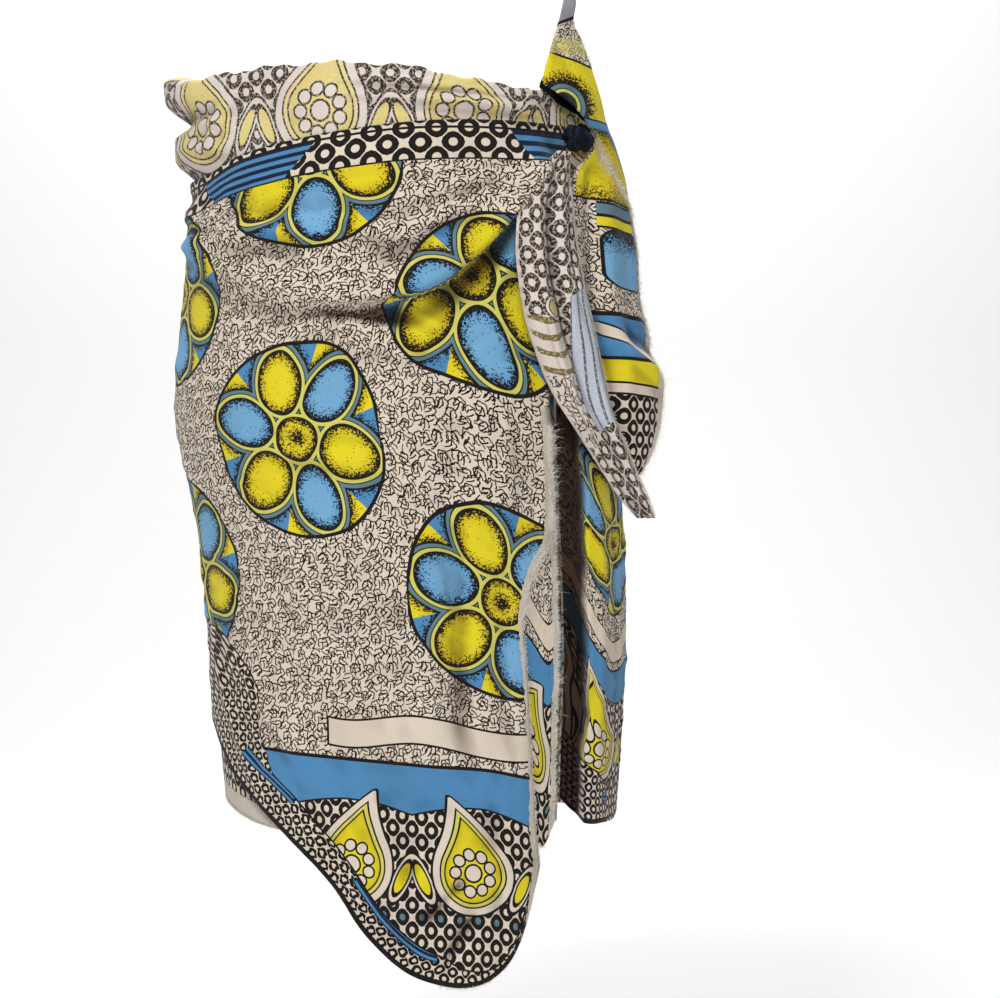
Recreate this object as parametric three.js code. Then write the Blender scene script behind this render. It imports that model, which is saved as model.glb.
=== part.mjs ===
// A printed cotton wrap cloth, wound round the hips and knotted at the wearer's left side.
// Millimetres. +Z is up, -Y is the front, +X is the knot's side.
// The origin is the centre of the waist opening, where the cloth grips its wearer.
import * as THREE from "three";

// ---- driving sizes ----

const CLOTH = 1.4; // thickness of every wall
const SEAM = 0.3; // gap between two stretches of the same cloth, one above the other
const SEAM_TURN = 0.2; // the same gap between two stretches side by side, in degrees

// How far the middle of each layer lies out from the hips.
const INNER_LIFT = 0.2;
const BAND_LIFT = 3.0;
const PLEAT_LIFT = 2.6;
const OUTER_LIFT = 6.0;
const OUTER_TOP_LIFT = 4.9; // along the outer turn's top edge, where it is pulled tight

// The hips that the cloth is wound on, and below them the column that it hangs in.
// right and back move the centre of a section.
const HIPS = [
  { level: -840, halfWidth: 166, halfDepth: 124, right: 22, back: 0 },
  { level: -680, halfWidth: 176, halfDepth: 130, right: 23, back: 0 },
  { level: -580, halfWidth: 183, halfDepth: 134, right: 21, back: 2 },
  { level: -515, halfWidth: 186, halfDepth: 136, right: 21, back: 3 },
  { level: -430, halfWidth: 189, halfDepth: 138, right: 17, back: 5 },
  { level: -355, halfWidth: 195, halfDepth: 139, right: 9, back: 8 },
  { level: -300, halfWidth: 201, halfDepth: 140, right: 3, back: 10 },
  { level: -235, halfWidth: 199, halfDepth: 138, right: 4, back: 10 },
  { level: -130, halfWidth: 190, halfDepth: 130, right: 6, back: 6 },
  { level: -70, halfWidth: 185, halfDepth: 124, right: 5, back: 2 },
  { level: 20, halfWidth: 184, halfDepth: 118, right: 2, back: 0 },
  { level: 80, halfWidth: 182, halfDepth: 116, right: 0, back: 0 },
];

// Turns are degrees round the hips: 0 at the front, growing towards the knot's side.
const KNOT_TURN = 54;
const PANEL_START = -115; // where the front panel meets the back panel
const PANEL_END = 43; // the front panel's free edge, at its hem
const BACK_END = -250; // where the back panel meets the side panel
const SIDE_START = 45.5; // where the side panel starts, in the valley beside the free edge
const BAND_START = -90; // where the front part of the waist fold meets the back part
const PLEAT_START = 22;
const PLEAT_END = 42.5;
const VALLEY_TURN = 46;
const VALLEY_DEPTH = 9;
const VALLEY_WIDTH = 4.5; // in degrees
const LOOSE_TURN = -92; // the side where the waist fold stands loose
const LOOSE_WIDTH = 26; // in degrees

const BAND_LEAF = 56; // height of the hidden inner leaf of the waist fold
const BAND_DEPTH = 92; // how far the outer leaf's lower edge lies below the origin
const BAND_ROLL = 6; // height of the rounded top of the waist fold
const BACK_TOP = -88; // level of the back panel's top edge
const PLEAT_TOP = -270; // level at which the pleat comes out from under the front panel

const TOP_OF_BAND = [
  { turn: -306, level: -15 },
  { turn: -270, level: -6 },
  { turn: -180, level: 10 },
  { turn: -110, level: 8 },
  { turn: -90, level: 17 },
  { turn: -75, level: 7 },
  { turn: -45, level: 5 },
  { turn: -16, level: 6 },
  { turn: 0, level: 3 },
  { turn: 10, level: -1 },
  { turn: 24, level: -9 },
  { turn: 43, level: -13 },
  { turn: 54, level: -15 },
];

const TOP_OF_PANEL = [
  { turn: -115, level: -88 },
  { turn: -90, level: -84 },
  { turn: -64, level: -82 },
  { turn: -48, level: -69 },
  { turn: -31, level: -60 },
  { turn: -16, level: -53 },
  { turn: 2, level: -46 },
  { turn: 20, level: -43 },
  { turn: 43, level: -42 },
];

const HEM_OF_PANEL = [
  { turn: -115, level: -620 },
  { turn: -95, level: -582 },
  { turn: -78, level: -575 },
  { turn: -66, level: -596 },
  { turn: -55, level: -620 },
  { turn: -42, level: -646 },
  { turn: -30, level: -672 },
  { turn: -18, level: -703 },
  { turn: -6, level: -748 },
  { turn: 6, level: -778 },
  { turn: 16, level: -790 },
  { turn: 26, level: -794 },
  { turn: 34, level: -785 },
  { turn: 39, level: -762 },
  { turn: 43, level: -700 },
];

// The panel's free edge, from the point at the hem up to the knot.
const FREE_EDGE = [
  { level: -800, turn: 31 },
  { level: -737, turn: 34 },
  { level: -689, turn: 35.5 },
  { level: -663, turn: 34.5 },
  { level: -584, turn: 33 },
  { level: -479, turn: 30.5 },
  { level: -440, turn: 34 },
  { level: -404, turn: 40.5 },
  { level: -287, turn: 42 },
  { level: -150, turn: 43.5 },
  { level: -95, turn: 45 },
  { level: -80, turn: 48 },
  { level: -65, turn: 52 },
  { level: -42, turn: 53 },
];

// Soft folds of the front panel, each a ridge (or a hollow, if its height is negative)
// along a line from one point to another. Most run out from the knot.
const PANEL_FOLDS = [
  { turn: -76, level: -146, toTurn: -26, toLevel: -140, height: 8, width: 9 },
  { turn: -60, level: -168, toTurn: -20, toLevel: -160, height: -1, width: 12 },
  { turn: 46, level: -76, toTurn: 20, toLevel: -142, height: 7, width: 13 },
  { turn: 20, level: -142, toTurn: 1, toLevel: -194, height: 8, width: 13 },
  { turn: 28, level: -152, toTurn: 10, toLevel: -216, height: -2, width: 12 },
  { turn: 37, level: -120, toTurn: 27, toLevel: -215, height: 4, width: 9 },
  { turn: 27, level: -215, toTurn: 20, toLevel: -400, height: 5, width: 18 },
  { turn: 34, level: -205, toTurn: 33, toLevel: -300, height: -2, width: 12 },
  { turn: -24, level: -146, toTurn: 9, toLevel: -200, height: 3, width: 14 },
  { turn: -12, level: -232, toTurn: 9, toLevel: -240, height: 3, width: 16 },
  { turn: -30, level: -325, toTurn: 2, toLevel: -345, height: 3, width: 22 },
  { turn: -60, level: -470, toTurn: -10, toLevel: -720, height: 4, width: 26 },
  { turn: 2, level: -500, toTurn: 14, toLevel: -760, height: 4, width: 26 },
  { turn: 28, level: -470, toTurn: 31, toLevel: -740, height: 4, width: 10 },
];

const BACK_FOLDS = [
  { turn: -135, level: -140, toTurn: -150, toLevel: -640, height: 5, width: 22 },
  { turn: -172, level: -110, toTurn: -168, toLevel: -660, height: 6, width: 20 },
  { turn: -196, level: -180, toTurn: -203, toLevel: -650, height: 5, width: 18 },
  { turn: -228, level: -120, toTurn: -222, toLevel: -660, height: 6, width: 20 },
  { turn: -240, level: -110, toTurn: -190, toLevel: -300, height: 4, width: 16 },
];

const HEM_OF_BACK = [
  { turn: -250, level: -666 },
  { turn: -220, level: -672 },
  { turn: -180, level: -670 },
  { turn: -150, level: -668 },
  { turn: -130, level: -650 },
  { turn: -115, level: -620 },
];

const TOP_OF_SIDE = [
  { turn: 45, level: -100 },
  { turn: 58, level: -98 },
  { turn: 68, level: -82 },
  { turn: 110, level: -84 },
];

const HEM_OF_SIDE = [
  { turn: 45, level: -642 },
  { turn: 52, level: -660 },
  { turn: 63, level: -664 },
  { turn: 77, level: -665 },
  { turn: 90, level: -657 },
  { turn: 110, level: -666 },
];

const HEM_OF_INNER = [
  { turn: -100, level: -640 },
  { turn: -80, level: -648 },
  { turn: -45, level: -664 },
  { turn: 0, level: -668 },
  { turn: 45, level: -664 },
];

const HEM_OF_PLEAT = [
  { turn: 22, level: -645 },
  { turn: 33, level: -664 },
  { turn: 39, level: -678 },
  { turn: 42.5, level: -662 },
];

// Each tail is a strip between a left and a right edge, bowed outward by bow.
const NARROW_TAIL = [
  { level: -391, leftX: 220, leftY: -69, rightX: 237, rightY: -64, bow: 1 },
  { level: -375, leftX: 206, leftY: -77, rightX: 232, rightY: -68, bow: 2 },
  { level: -348, leftX: 187, leftY: -88, rightX: 220, rightY: -74, bow: 3 },
  { level: -318, leftX: 168, leftY: -102, rightX: 207, rightY: -80, bow: 4 },
  { level: -287, leftX: 147, leftY: -114, rightX: 196, rightY: -85, bow: 5 },
  { level: -244, leftX: 128, leftY: -123, rightX: 187, rightY: -88, bow: 6 },
  { level: -200, leftX: 116, leftY: -126, rightX: 176, rightY: -92, bow: 7 },
  { level: -156, leftX: 111, leftY: -126, rightX: 167, rightY: -92, bow: 7 },
  { level: -112, leftX: 115, leftY: -121, rightX: 162, rightY: -91, bow: 6 },
  { level: -86, leftX: 131, leftY: -107, rightX: 160, rightY: -88, bow: 4 },
  { level: -66.8, leftX: 149, leftY: -93, rightX: 160.5, rightY: -88, bow: 1 },
];

const WIDE_TAIL = [
  { level: -352, leftX: 214, leftY: -48, rightX: 233, rightY: -40, bow: 3 },
  { level: -328, leftX: 203, leftY: -56, rightX: 237, rightY: -36, bow: 6 },
  { level: -300, leftX: 191, leftY: -65, rightX: 243, rightY: -32, bow: 10 },
  { level: -264, leftX: 184, leftY: -72, rightX: 249, rightY: -26, bow: 12 },
  { level: -245, leftX: 179, leftY: -75, rightX: 247, rightY: -22, bow: 13 },
  { level: -221, leftX: 172, leftY: -80, rightX: 235, rightY: -16, bow: 15 },
  { level: -190, leftX: 164, leftY: -84, rightX: 228, rightY: -10, bow: 16 },
  { level: -145, leftX: 160, leftY: -84, rightX: 226, rightY: -6, bow: 15 },
  { level: -98, leftX: 162, leftY: -80, rightX: 220, rightY: -8, bow: 13 },
  { level: -80, leftX: 166, leftY: -78, rightX: 219, rightY: -14, bow: 11 },
  { level: -66, leftX: 178, leftY: -76, rightX: 216, rightY: -24, bow: 8 },
  { level: -46.9, leftX: 186, leftY: -75, rightX: 206, rightY: -42, bow: 3 },
];

// The upright tail is folded along its right edge, so it has a front leaf and a back one.
// The front leaf's lower edge arches over the hollow above the knot.
const UP_TAIL = [
  { level: -46, frontX: 186, backX: 182, rightX: 196, leftY: -90, rightY: -66, depth: 6 },
  { level: -33, frontX: 180, backX: 162, rightX: 192, leftY: -98, rightY: -66, depth: 12 },
  { level: -24, frontX: 171, backX: 148, rightX: 190, leftY: -98, rightY: -68, depth: 16 },
  { level: -16, frontX: 157, backX: 140, rightX: 188, leftY: -98, rightY: -70, depth: 16 },
  { level: -10, frontX: 136, backX: 133, rightX: 186, leftY: -98, rightY: -72, depth: 16 },
  { level: 2, frontX: 137, backX: 137, rightX: 182, leftY: -97, rightY: -75, depth: 15 },
  { level: 16, frontX: 141, backX: 141, rightX: 177, leftY: -95, rightY: -78, depth: 13 },
  { level: 36, frontX: 146, backX: 146, rightX: 169, leftY: -92, rightY: -82, depth: 10 },
  { level: 48, frontX: 150, backX: 150, rightX: 163, leftY: -91, rightY: -83, depth: 8 },
  { level: 66, frontX: 154, backX: 154, rightX: 165, leftY: -90, rightY: -85, depth: 6 },
  { level: 80, frontX: 156, backX: 156, rightX: 162, leftY: -88, rightY: -86, depth: 4 },
];

const KNOT = { x: 167.4, y: -84.4, level: -54, halfWidth: 15, halfDepth: 12, halfHeight: 15 };

const COLOURS = {
  cream: 0xdccdb6,
  reverse: 0xd9cfb4,
  border: 0x6f675c,
  yellow: 0xd8c63a,
  dark: 0x23252a,
};

// ---- small helpers ----

const radians = (degrees) => (degrees * Math.PI) / 180;

const mix = (a, b, share) => a + (b - a) * share;

const smooth = (low, high, value) => {
  const share = THREE.MathUtils.clamp((value - low) / (high - low), 0, 1);
  return share * share * (3 - 2 * share);
};

// Reads a table at a place along its key column, on a curve with no overshoot to speak of.
function read(table, key, at, column) {
  const last = table.length - 1;
  if (at <= table[0][key]) return table[0][column];
  if (at >= table[last][key]) return table[last][column];
  let i = 0;
  while (table[i + 1][key] < at) i += 1;
  const slope = (j) => {
    const before = table[Math.max(j - 1, 0)];
    const after = table[Math.min(j + 1, last)];
    return (after[column] - before[column]) / (after[key] - before[key]);
  };
  const span = table[i + 1][key] - table[i][key];
  const t = (at - table[i][key]) / span;
  const blend = t * t * (3 - 2 * t);
  return (
    mix(table[i][column], table[i + 1][column], blend) +
    span * slope(i) * t * (1 - t) * (1 - t) -
    span * slope(i + 1) * t * t * (1 - t)
  );
}

// 1 at the middle of a soft ridge, falling to nothing a few widths away.
const ridge = (middle, width, value) => Math.exp(-(((value - middle) / width) ** 2));

// A point on the hips at a turn and level, lifted out from them.
function onHips(turn, level, lift) {
  const halfWidth = read(HIPS, "level", level, "halfWidth") + lift;
  const halfDepth = read(HIPS, "level", level, "halfDepth") + lift;
  return new THREE.Vector3(
    read(HIPS, "level", level, "right") + halfWidth * Math.sin(radians(turn)),
    read(HIPS, "level", level, "back") - halfDepth * Math.cos(radians(turn)),
    level
  );
}

// The height of a set of folds at a turn and level.
function foldsAt(folds, turn, level) {
  const MM_PER_DEGREE = 2.9;
  let height = 0;
  for (const fold of folds) {
    const alongX = (fold.toTurn - fold.turn) * MM_PER_DEGREE;
    const alongZ = fold.toLevel - fold.level;
    const fromX = (turn - fold.turn) * MM_PER_DEGREE;
    const fromZ = level - fold.level;
    const length = Math.hypot(alongX, alongZ);
    const along = (fromX * alongX + fromZ * alongZ) / length;
    const aside = (fromX * alongZ - fromZ * alongX) / length;
    const taper = smooth(-0.15, 0.25, along / length) * (1 - smooth(0.7, 1.15, along / length));
    height += fold.height * taper * ridge(0, fold.width, aside);
  }
  return height;
}

// ---- a closed wall of cloth ----

// middle gives the wall's middle surface. across runs to the right as seen from outside,
// down runs from top to bottom, and both go from 0 to 1.
function clothWall(name, colour, columns, rows, middle) {
  const grid = [];
  for (let j = 0; j <= rows; j += 1) {
    for (let i = 0; i <= columns; i += 1) grid.push(middle(i / columns, j / rows));
  }
  const at = (i, j) => grid[j * (columns + 1) + i];
  const outward = (i, j) => {
    const right = at(Math.min(i + 1, columns), j).clone().sub(at(Math.max(i - 1, 0), j));
    const down = at(i, Math.min(j + 1, rows)).clone().sub(at(i, Math.max(j - 1, 0)));
    return down.cross(right).normalize();
  };
  const places = [];
  for (const side of [0.5, -0.5]) {
    for (let j = 0; j <= rows; j += 1) {
      for (let i = 0; i <= columns; i += 1) {
        const point = at(i, j).clone().addScaledVector(outward(i, j), side * CLOTH);
        places.push(point.x, point.y, point.z);
      }
    }
  }
  const outer = (i, j) => j * (columns + 1) + i;
  const inner = (i, j) => grid.length + outer(i, j);
  const faces = [];
  const quad = (a, b, c, d) => faces.push(a, b, c, a, c, d);
  for (let j = 0; j < rows; j += 1) {
    for (let i = 0; i < columns; i += 1) {
      quad(outer(i, j), outer(i, j + 1), outer(i + 1, j + 1), outer(i + 1, j));
      quad(inner(i, j), inner(i + 1, j), inner(i + 1, j + 1), inner(i, j + 1));
    }
  }
  for (let i = 0; i < columns; i += 1) {
    quad(outer(i, 0), outer(i + 1, 0), inner(i + 1, 0), inner(i, 0));
    quad(outer(i + 1, rows), outer(i, rows), inner(i, rows), inner(i + 1, rows));
  }
  for (let j = 0; j < rows; j += 1) {
    quad(outer(0, j + 1), outer(0, j), inner(0, j), inner(0, j + 1));
    quad(outer(columns, j), outer(columns, j + 1), inner(columns, j + 1), inner(columns, j));
  }
  return solid(name, colour, places, faces);
}

function solid(name, colour, places, faces) {
  const geometry = new THREE.BufferGeometry();
  geometry.setAttribute("position", new THREE.Float32BufferAttribute(places, 3));
  geometry.setIndex(faces);
  geometry.computeVertexNormals();
  const material = new THREE.MeshStandardMaterial({ color: colour, roughness: 0.9, metalness: 0 });
  material.name = name;
  const mesh = new THREE.Mesh(geometry, material);
  mesh.name = name;
  return mesh;
}

// ---- the layers round the hips ----

// The band stands well out at the left, where the folded edge is loose, and the outer turn
// pulls it in along its own top edge.
function bandLift(turn, level) {
  const upperBulge = 29 * smooth(-34, -6, level);
  const panelTop = read(TOP_OF_PANEL, "turn", turn, "level");
  const lowerBulge = 20 * smooth(-28, -42, level) * smooth(panelTop + 1, panelTop + 24, level);
  // a second fold steps out below the top edge, near the knot
  const alongStep = smooth(-4, 14, turn) * (1 - smooth(38, 48, turn));
  const step = 3 * alongStep * smooth(-17, -26, level) * smooth(-38, -28, level);
  const loose = ridge(LOOSE_TURN, LOOSE_WIDTH, turn);
  return BAND_LIFT + loose * (upperBulge + lowerBulge) + step;
}

// The waist fold is a hairpin: up the inner leaf, over the top and down the outer leaf.
function waistFold(name, from, to, columns) {
  // shares of the wall's rows, from the outer leaf's lower edge
  const OUTER_LEAF = 0.53;
  const ROLL_END = 0.83;
  return clothWall(name, COLOURS.reverse, columns, 15, (across, down) => {
    const turn = mix(from, to, across);
    const rollStart = read(TOP_OF_BAND, "turn", turn, "level") - BAND_ROLL;
    const share = 1 - down;
    if (share < OUTER_LEAF) {
      const level = mix(-BAND_DEPTH, rollStart, share / OUTER_LEAF);
      return onHips(turn, level, bandLift(turn, level));
    }
    if (share < ROLL_END) {
      const arc = (Math.PI * (share - OUTER_LEAF)) / (ROLL_END - OUTER_LEAF);
      const lift = mix(bandLift(turn, rollStart), INNER_LIFT, (1 - Math.cos(arc)) / 2);
      return onHips(turn, rollStart + BAND_ROLL * Math.sin(arc), lift);
    }
    const below = (share - ROLL_END) / (1 - ROLL_END);
    return onHips(turn, mix(rollStart, -BAND_LEAF, below), INNER_LIFT);
  });
}

// The valley at the knot's side, where the outer turn dives under the front panel.
function valley(turn, level) {
  return -VALLEY_DEPTH * ridge(VALLEY_TURN, VALLEY_WIDTH, turn) * smooth(-190, -330, level);
}

function innerFront() {
  return clothWall("inner_front", COLOURS.cream, 26, 10, (across, down) => {
    const turn = mix(HEM_OF_INNER[0].turn, SIDE_START - SEAM_TURN / 2, across);
    const hem = read(HEM_OF_INNER, "turn", turn, "level");
    const level = mix(-BAND_LEAF - SEAM, hem, down);
    return onHips(turn, level, INNER_LIFT + valley(turn, level));
  });
}

function frontPanelLift(turn, level) {
  const top = read(TOP_OF_PANEL, "turn", Math.min(turn, PANEL_END), "level");
  const base = mix(OUTER_TOP_LIFT, OUTER_LIFT, smooth(top, top - 30, level));
  const loose = 4 * ridge(LOOSE_TURN, LOOSE_WIDTH, turn) * smooth(top - 16, top - 2, level);
  const flare = 9 * smooth(-560, -790, level);
  return base + loose + flare + foldsAt(PANEL_FOLDS, turn, level);
}

function frontPanel() {
  return clothWall("front_panel", COLOURS.cream, 32, 27, (across, down) => {
    const nominal = mix(PANEL_START, PANEL_END, across);
    const top = read(TOP_OF_PANEL, "turn", nominal, "level");
    const level = mix(top, read(HEM_OF_PANEL, "turn", nominal, "level"), down);
    const edge = read(FREE_EDGE, "level", level, "turn");
    const turn = mix(PANEL_START, edge, across);
    return onHips(turn, level, frontPanelLift(turn, level));
  });
}

function edgePleat() {
  return clothWall("edge_pleat", COLOURS.cream, 6, 14, (across, down) => {
    const turn = mix(PLEAT_START, PLEAT_END, across);
    const hem = read(HEM_OF_PLEAT, "turn", turn, "level");
    const level = mix(PLEAT_TOP, hem, down);
    const wave = 0.6 * Math.sin(level / 17) * across * across;
    return onHips(turn, level, PLEAT_LIFT + wave);
  });
}

function backPanel() {
  return clothWall("back_panel", COLOURS.cream, 26, 14, (across, down) => {
    const turn = mix(BACK_END, PANEL_START - SEAM_TURN, across);
    const level = mix(BACK_TOP, read(HEM_OF_BACK, "turn", turn, "level"), down);
    const base = mix(OUTER_TOP_LIFT + 0.6, OUTER_LIFT, smooth(-90, -130, level));
    const away = smooth(PANEL_START, PANEL_START - 12, turn) * smooth(BACK_END, BACK_END + 10, turn);
    return onHips(turn, level, base + away * foldsAt(BACK_FOLDS, turn, level));
  });
}

function sidePanel() {
  return clothWall("side_panel", COLOURS.cream, 14, 16, (across, down) => {
    const end = BACK_END + 360 - SEAM_TURN;
    const turn = mix(SIDE_START, end, across);
    const top = read(TOP_OF_SIDE, "turn", turn, "level");
    const level = mix(top, read(HEM_OF_SIDE, "turn", turn, "level"), down);
    const out = mix(PLEAT_LIFT, OUTER_LIFT, smooth(SIDE_START, 66, turn));
    const roll = 4 * ridge(62, 9, turn) * smooth(-190, -330, level);
    return onHips(turn, level, out + roll + valley(turn, level));
  });
}

// ---- the knot and its tails ----

// A strip between two edges, with pleats that die out at its ends.
function tail(name, colour, table, columns, rows, pleats, pleatDepth) {
  const low = table[0].level;
  const high = table[table.length - 1].level;
  return clothWall(name, colour, columns, rows, (across, down) => {
    const level = mix(high, low, down);
    const value = (column) => read(table, "level", level, column);
    const left = new THREE.Vector3(value("leftX"), value("leftY"), level);
    const right = new THREE.Vector3(value("rightX"), value("rightY"), level);
    const outward = new THREE.Vector3(right.y - left.y, left.x - right.x, 0).normalize();
    const fade = smooth(0, 0.2, down) * (1 - smooth(0.7, 1, down));
    const pleat = (0.5 - 0.5 * Math.cos(2 * Math.PI * pleats * across)) * pleatDepth * fade;
    const bow = value("bow") * Math.sin(Math.PI * across);
    return left.lerp(right, across).addScaledVector(outward, bow + pleat);
  });
}

function upTail() {
  const low = UP_TAIL[0].level;
  const high = UP_TAIL[UP_TAIL.length - 1].level;
  return clothWall("up_tail", COLOURS.yellow, 14, 16, (across, down) => {
    const level = mix(high, low, down);
    const value = (column) => read(UP_TAIL, "level", level, column);
    const arc = Math.PI * across;
    const left = mix(value("frontX"), value("backX"), smooth(0.35, 0.65, across));
    const out = Math.sin(arc) ** 0.7;
    const x = mix(left, value("rightX"), out);
    const y = mix(value("leftY"), value("rightY"), out) - (value("depth") / 2) * Math.cos(arc);
    return new THREE.Vector3(x, y, level);
  });
}

// The knot is a tight lump, grooved where its folds cross.
function knot() {
  const RINGS = 9;
  const SIDES = 18;
  const places = [];
  const faces = [];
  const surface = (ring, side) => {
    const tilt = Math.PI * (ring / RINGS);
    const round = 2 * Math.PI * (side / SIDES);
    const groove = 1 - 0.1 * (0.5 + 0.5 * Math.cos(3 * round + 2 * tilt)) * Math.sin(tilt);
    return [
      KNOT.x + KNOT.halfWidth * groove * Math.sin(tilt) * Math.cos(round),
      KNOT.y + KNOT.halfDepth * groove * Math.sin(tilt) * Math.sin(round),
      KNOT.level + KNOT.halfHeight * groove * Math.cos(tilt),
    ];
  };
  places.push(...surface(0, 0));
  for (let ring = 1; ring < RINGS; ring += 1) {
    for (let side = 0; side < SIDES; side += 1) places.push(...surface(ring, side));
  }
  places.push(...surface(RINGS, 0));
  const at = (ring, side) => 1 + (ring - 1) * SIDES + (side % SIDES);
  const bottom = 1 + (RINGS - 1) * SIDES;
  for (let side = 0; side < SIDES; side += 1) {
    faces.push(0, at(1, side), at(1, side + 1));
    faces.push(bottom, at(RINGS - 1, side + 1), at(RINGS - 1, side));
    for (let ring = 1; ring < RINGS - 1; ring += 1) {
      faces.push(at(ring, side), at(ring + 1, side), at(ring + 1, side + 1));
      faces.push(at(ring, side), at(ring + 1, side + 1), at(ring, side + 1));
    }
  }
  return solid("knot", COLOURS.dark, places, faces);
}

const group = new THREE.Group();
group.name = "wrap_cloth";
group.add(
  waistFold("waist_fold_front", BAND_START, KNOT_TURN, 32),
  waistFold("waist_fold_back", KNOT_TURN - 360 + SEAM_TURN, BAND_START - SEAM_TURN, 28),
  innerFront(),
  frontPanel(),
  edgePleat(),
  backPanel(),
  sidePanel(),
  knot(),
  upTail(),
  tail("wide_tail", COLOURS.yellow, WIDE_TAIL, 10, 16, 1, 3),
  tail("narrow_tail", COLOURS.reverse, NARROW_TAIL, 12, 18, 2, 7)
);

export default group;
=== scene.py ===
"""A printed cotton wrap cloth, wound round the hips and knotted at one side.

Each stretch of the cloth is a thin shell on its CAD solid's form, with finer folds.
Sizes in the tables are millimetres and degrees; meshes are made in metres.
"""

import math
from functools import partial

import bpy
import numpy as np
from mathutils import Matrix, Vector


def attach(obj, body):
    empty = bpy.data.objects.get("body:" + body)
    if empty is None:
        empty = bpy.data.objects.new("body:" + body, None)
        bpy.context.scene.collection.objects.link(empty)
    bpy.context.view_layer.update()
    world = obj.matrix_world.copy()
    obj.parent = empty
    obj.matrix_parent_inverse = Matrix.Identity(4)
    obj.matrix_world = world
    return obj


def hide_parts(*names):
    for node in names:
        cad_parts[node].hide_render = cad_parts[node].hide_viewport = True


MM = 0.001
CLOTH = 0.7  # thickness of the shells
DEGREE = 2.9  # how far round the hips a degree is, about

# how far each layer's middle is over the hips
INNER_LIFT = 0.2
BAND_LIFT = 3.0
PLEAT_LIFT = 2.6
OUTER_LIFT = 6.0
OUTER_TOP_LIFT = 4.9

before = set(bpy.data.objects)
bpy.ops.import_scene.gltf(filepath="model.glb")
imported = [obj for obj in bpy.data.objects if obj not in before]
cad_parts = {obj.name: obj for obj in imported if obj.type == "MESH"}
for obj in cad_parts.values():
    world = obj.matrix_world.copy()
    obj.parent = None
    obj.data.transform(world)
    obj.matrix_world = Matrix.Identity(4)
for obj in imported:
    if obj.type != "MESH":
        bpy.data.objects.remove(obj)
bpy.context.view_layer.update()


# ---- tables of the cut and drape, nearly as in the CAD source ----

# level, half width, half depth, shift right, shift back
HIPS = [
    (-840, 166, 124, 22, 0),
    (-680, 176, 130, 23, 0),
    (-580, 183, 134, 21, 2),
    (-515, 186, 136, 21, 3),
    (-430, 189, 138, 17, 5),
    (-355, 195, 139, 9, 8),
    (-300, 201, 140, 3, 10),
    (-235, 199, 138, 4, 10),
    (-130, 190, 130, 6, 6),
    (-70, 185, 124, 5, 2),
    (20, 184, 118, 2, 0),
    (80, 182, 116, 0, 0),
]

# turns, from the front round to the wearer's left
KNOT_TURN = 54
PANEL_START = -115
PANEL_END = 43
PLEAT_START = 22
PLEAT_END = 42.5
BACK_END = -250
SIDE_START = 45.5
BAND_START = -90
LOOSE_TURN = -92  # the cloth stands loose round here
LOOSE_WIDTH = 26

# levels
PLEAT_TOP = -270
BACK_TOP = -88

# turn, level
TOP_OF_BAND = [
    (-306, -15), (-270, -6), (-180, 10), (-110, 8), (-90, 17), (-75, 7), (-45, 5),
    (-16, 6), (0, 3), (10, -1), (24, -9), (43, -13), (54, -15),
]
TOP_OF_PANEL = [
    (-115, -88), (-90, -84), (-64, -82), (-48, -69), (-31, -60), (-16, -53), (2, -46),
    (20, -43), (43, -42),
]
HEM_OF_PANEL = [
    (-115, -620), (-95, -582), (-78, -575), (-66, -596), (-55, -620), (-42, -646),
    (-30, -672), (-18, -703), (-6, -748), (6, -778), (16, -790), (26, -794), (34, -785),
    (39, -762), (43, -700),
]
HEM_OF_BACK = [
    (-250, -666), (-220, -672), (-180, -670), (-150, -668), (-130, -650), (-115, -620),
]
TOP_OF_SIDE = [(45, -100), (58, -98), (68, -82), (110, -84)]
HEM_OF_SIDE = [(45, -642), (52, -660), (63, -664), (77, -665), (90, -657), (110, -666)]
HEM_OF_INNER = [(-100, -640), (-80, -648), (-45, -664), (0, -668), (45, -664)]
HEM_OF_PLEAT = [(22, -645), (33, -664), (39, -678), (42.5, -662)]

# level, turn
FREE_EDGE = [
    (-800, 31), (-737, 34), (-689, 35.5), (-663, 34.5), (-584, 33), (-479, 30.5),
    (-440, 34), (-404, 40.5), (-287, 42), (-150, 43.5), (-95, 45), (-80, 48), (-65, 52),
    (-42, 53),
]

# turn, level, to turn, to level, height, width
PANEL_FOLDS = [
    (-76, -146, -26, -140, 8, 9),
    (-60, -168, -20, -160, -1, 12),
    (46, -76, 20, -142, 7, 13),
    (20, -142, 1, -194, 8, 13),
    (28, -152, 10, -216, -2, 12),
    (37, -120, 27, -215, 4, 9),
    (27, -215, 20, -400, 5, 18),
    (34, -205, 33, -300, -2, 12),
    (-24, -146, 9, -200, 3, 14),
    (-12, -232, 9, -240, 3, 16),
    (-30, -325, 2, -345, 3, 22),
    (-60, -470, -10, -720, 4, 26),
    (2, -500, 14, -760, 4, 26),
    (28, -470, 31, -740, 4, 10),
]
BACK_FOLDS = [
    (-135, -140, -150, -640, 5, 22),
    (-172, -110, -168, -660, 6, 20),
    (-196, -180, -203, -650, 5, 18),
    (-228, -120, -222, -660, 6, 20),
    (-240, -110, -190, -300, 4, 16),
]

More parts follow.
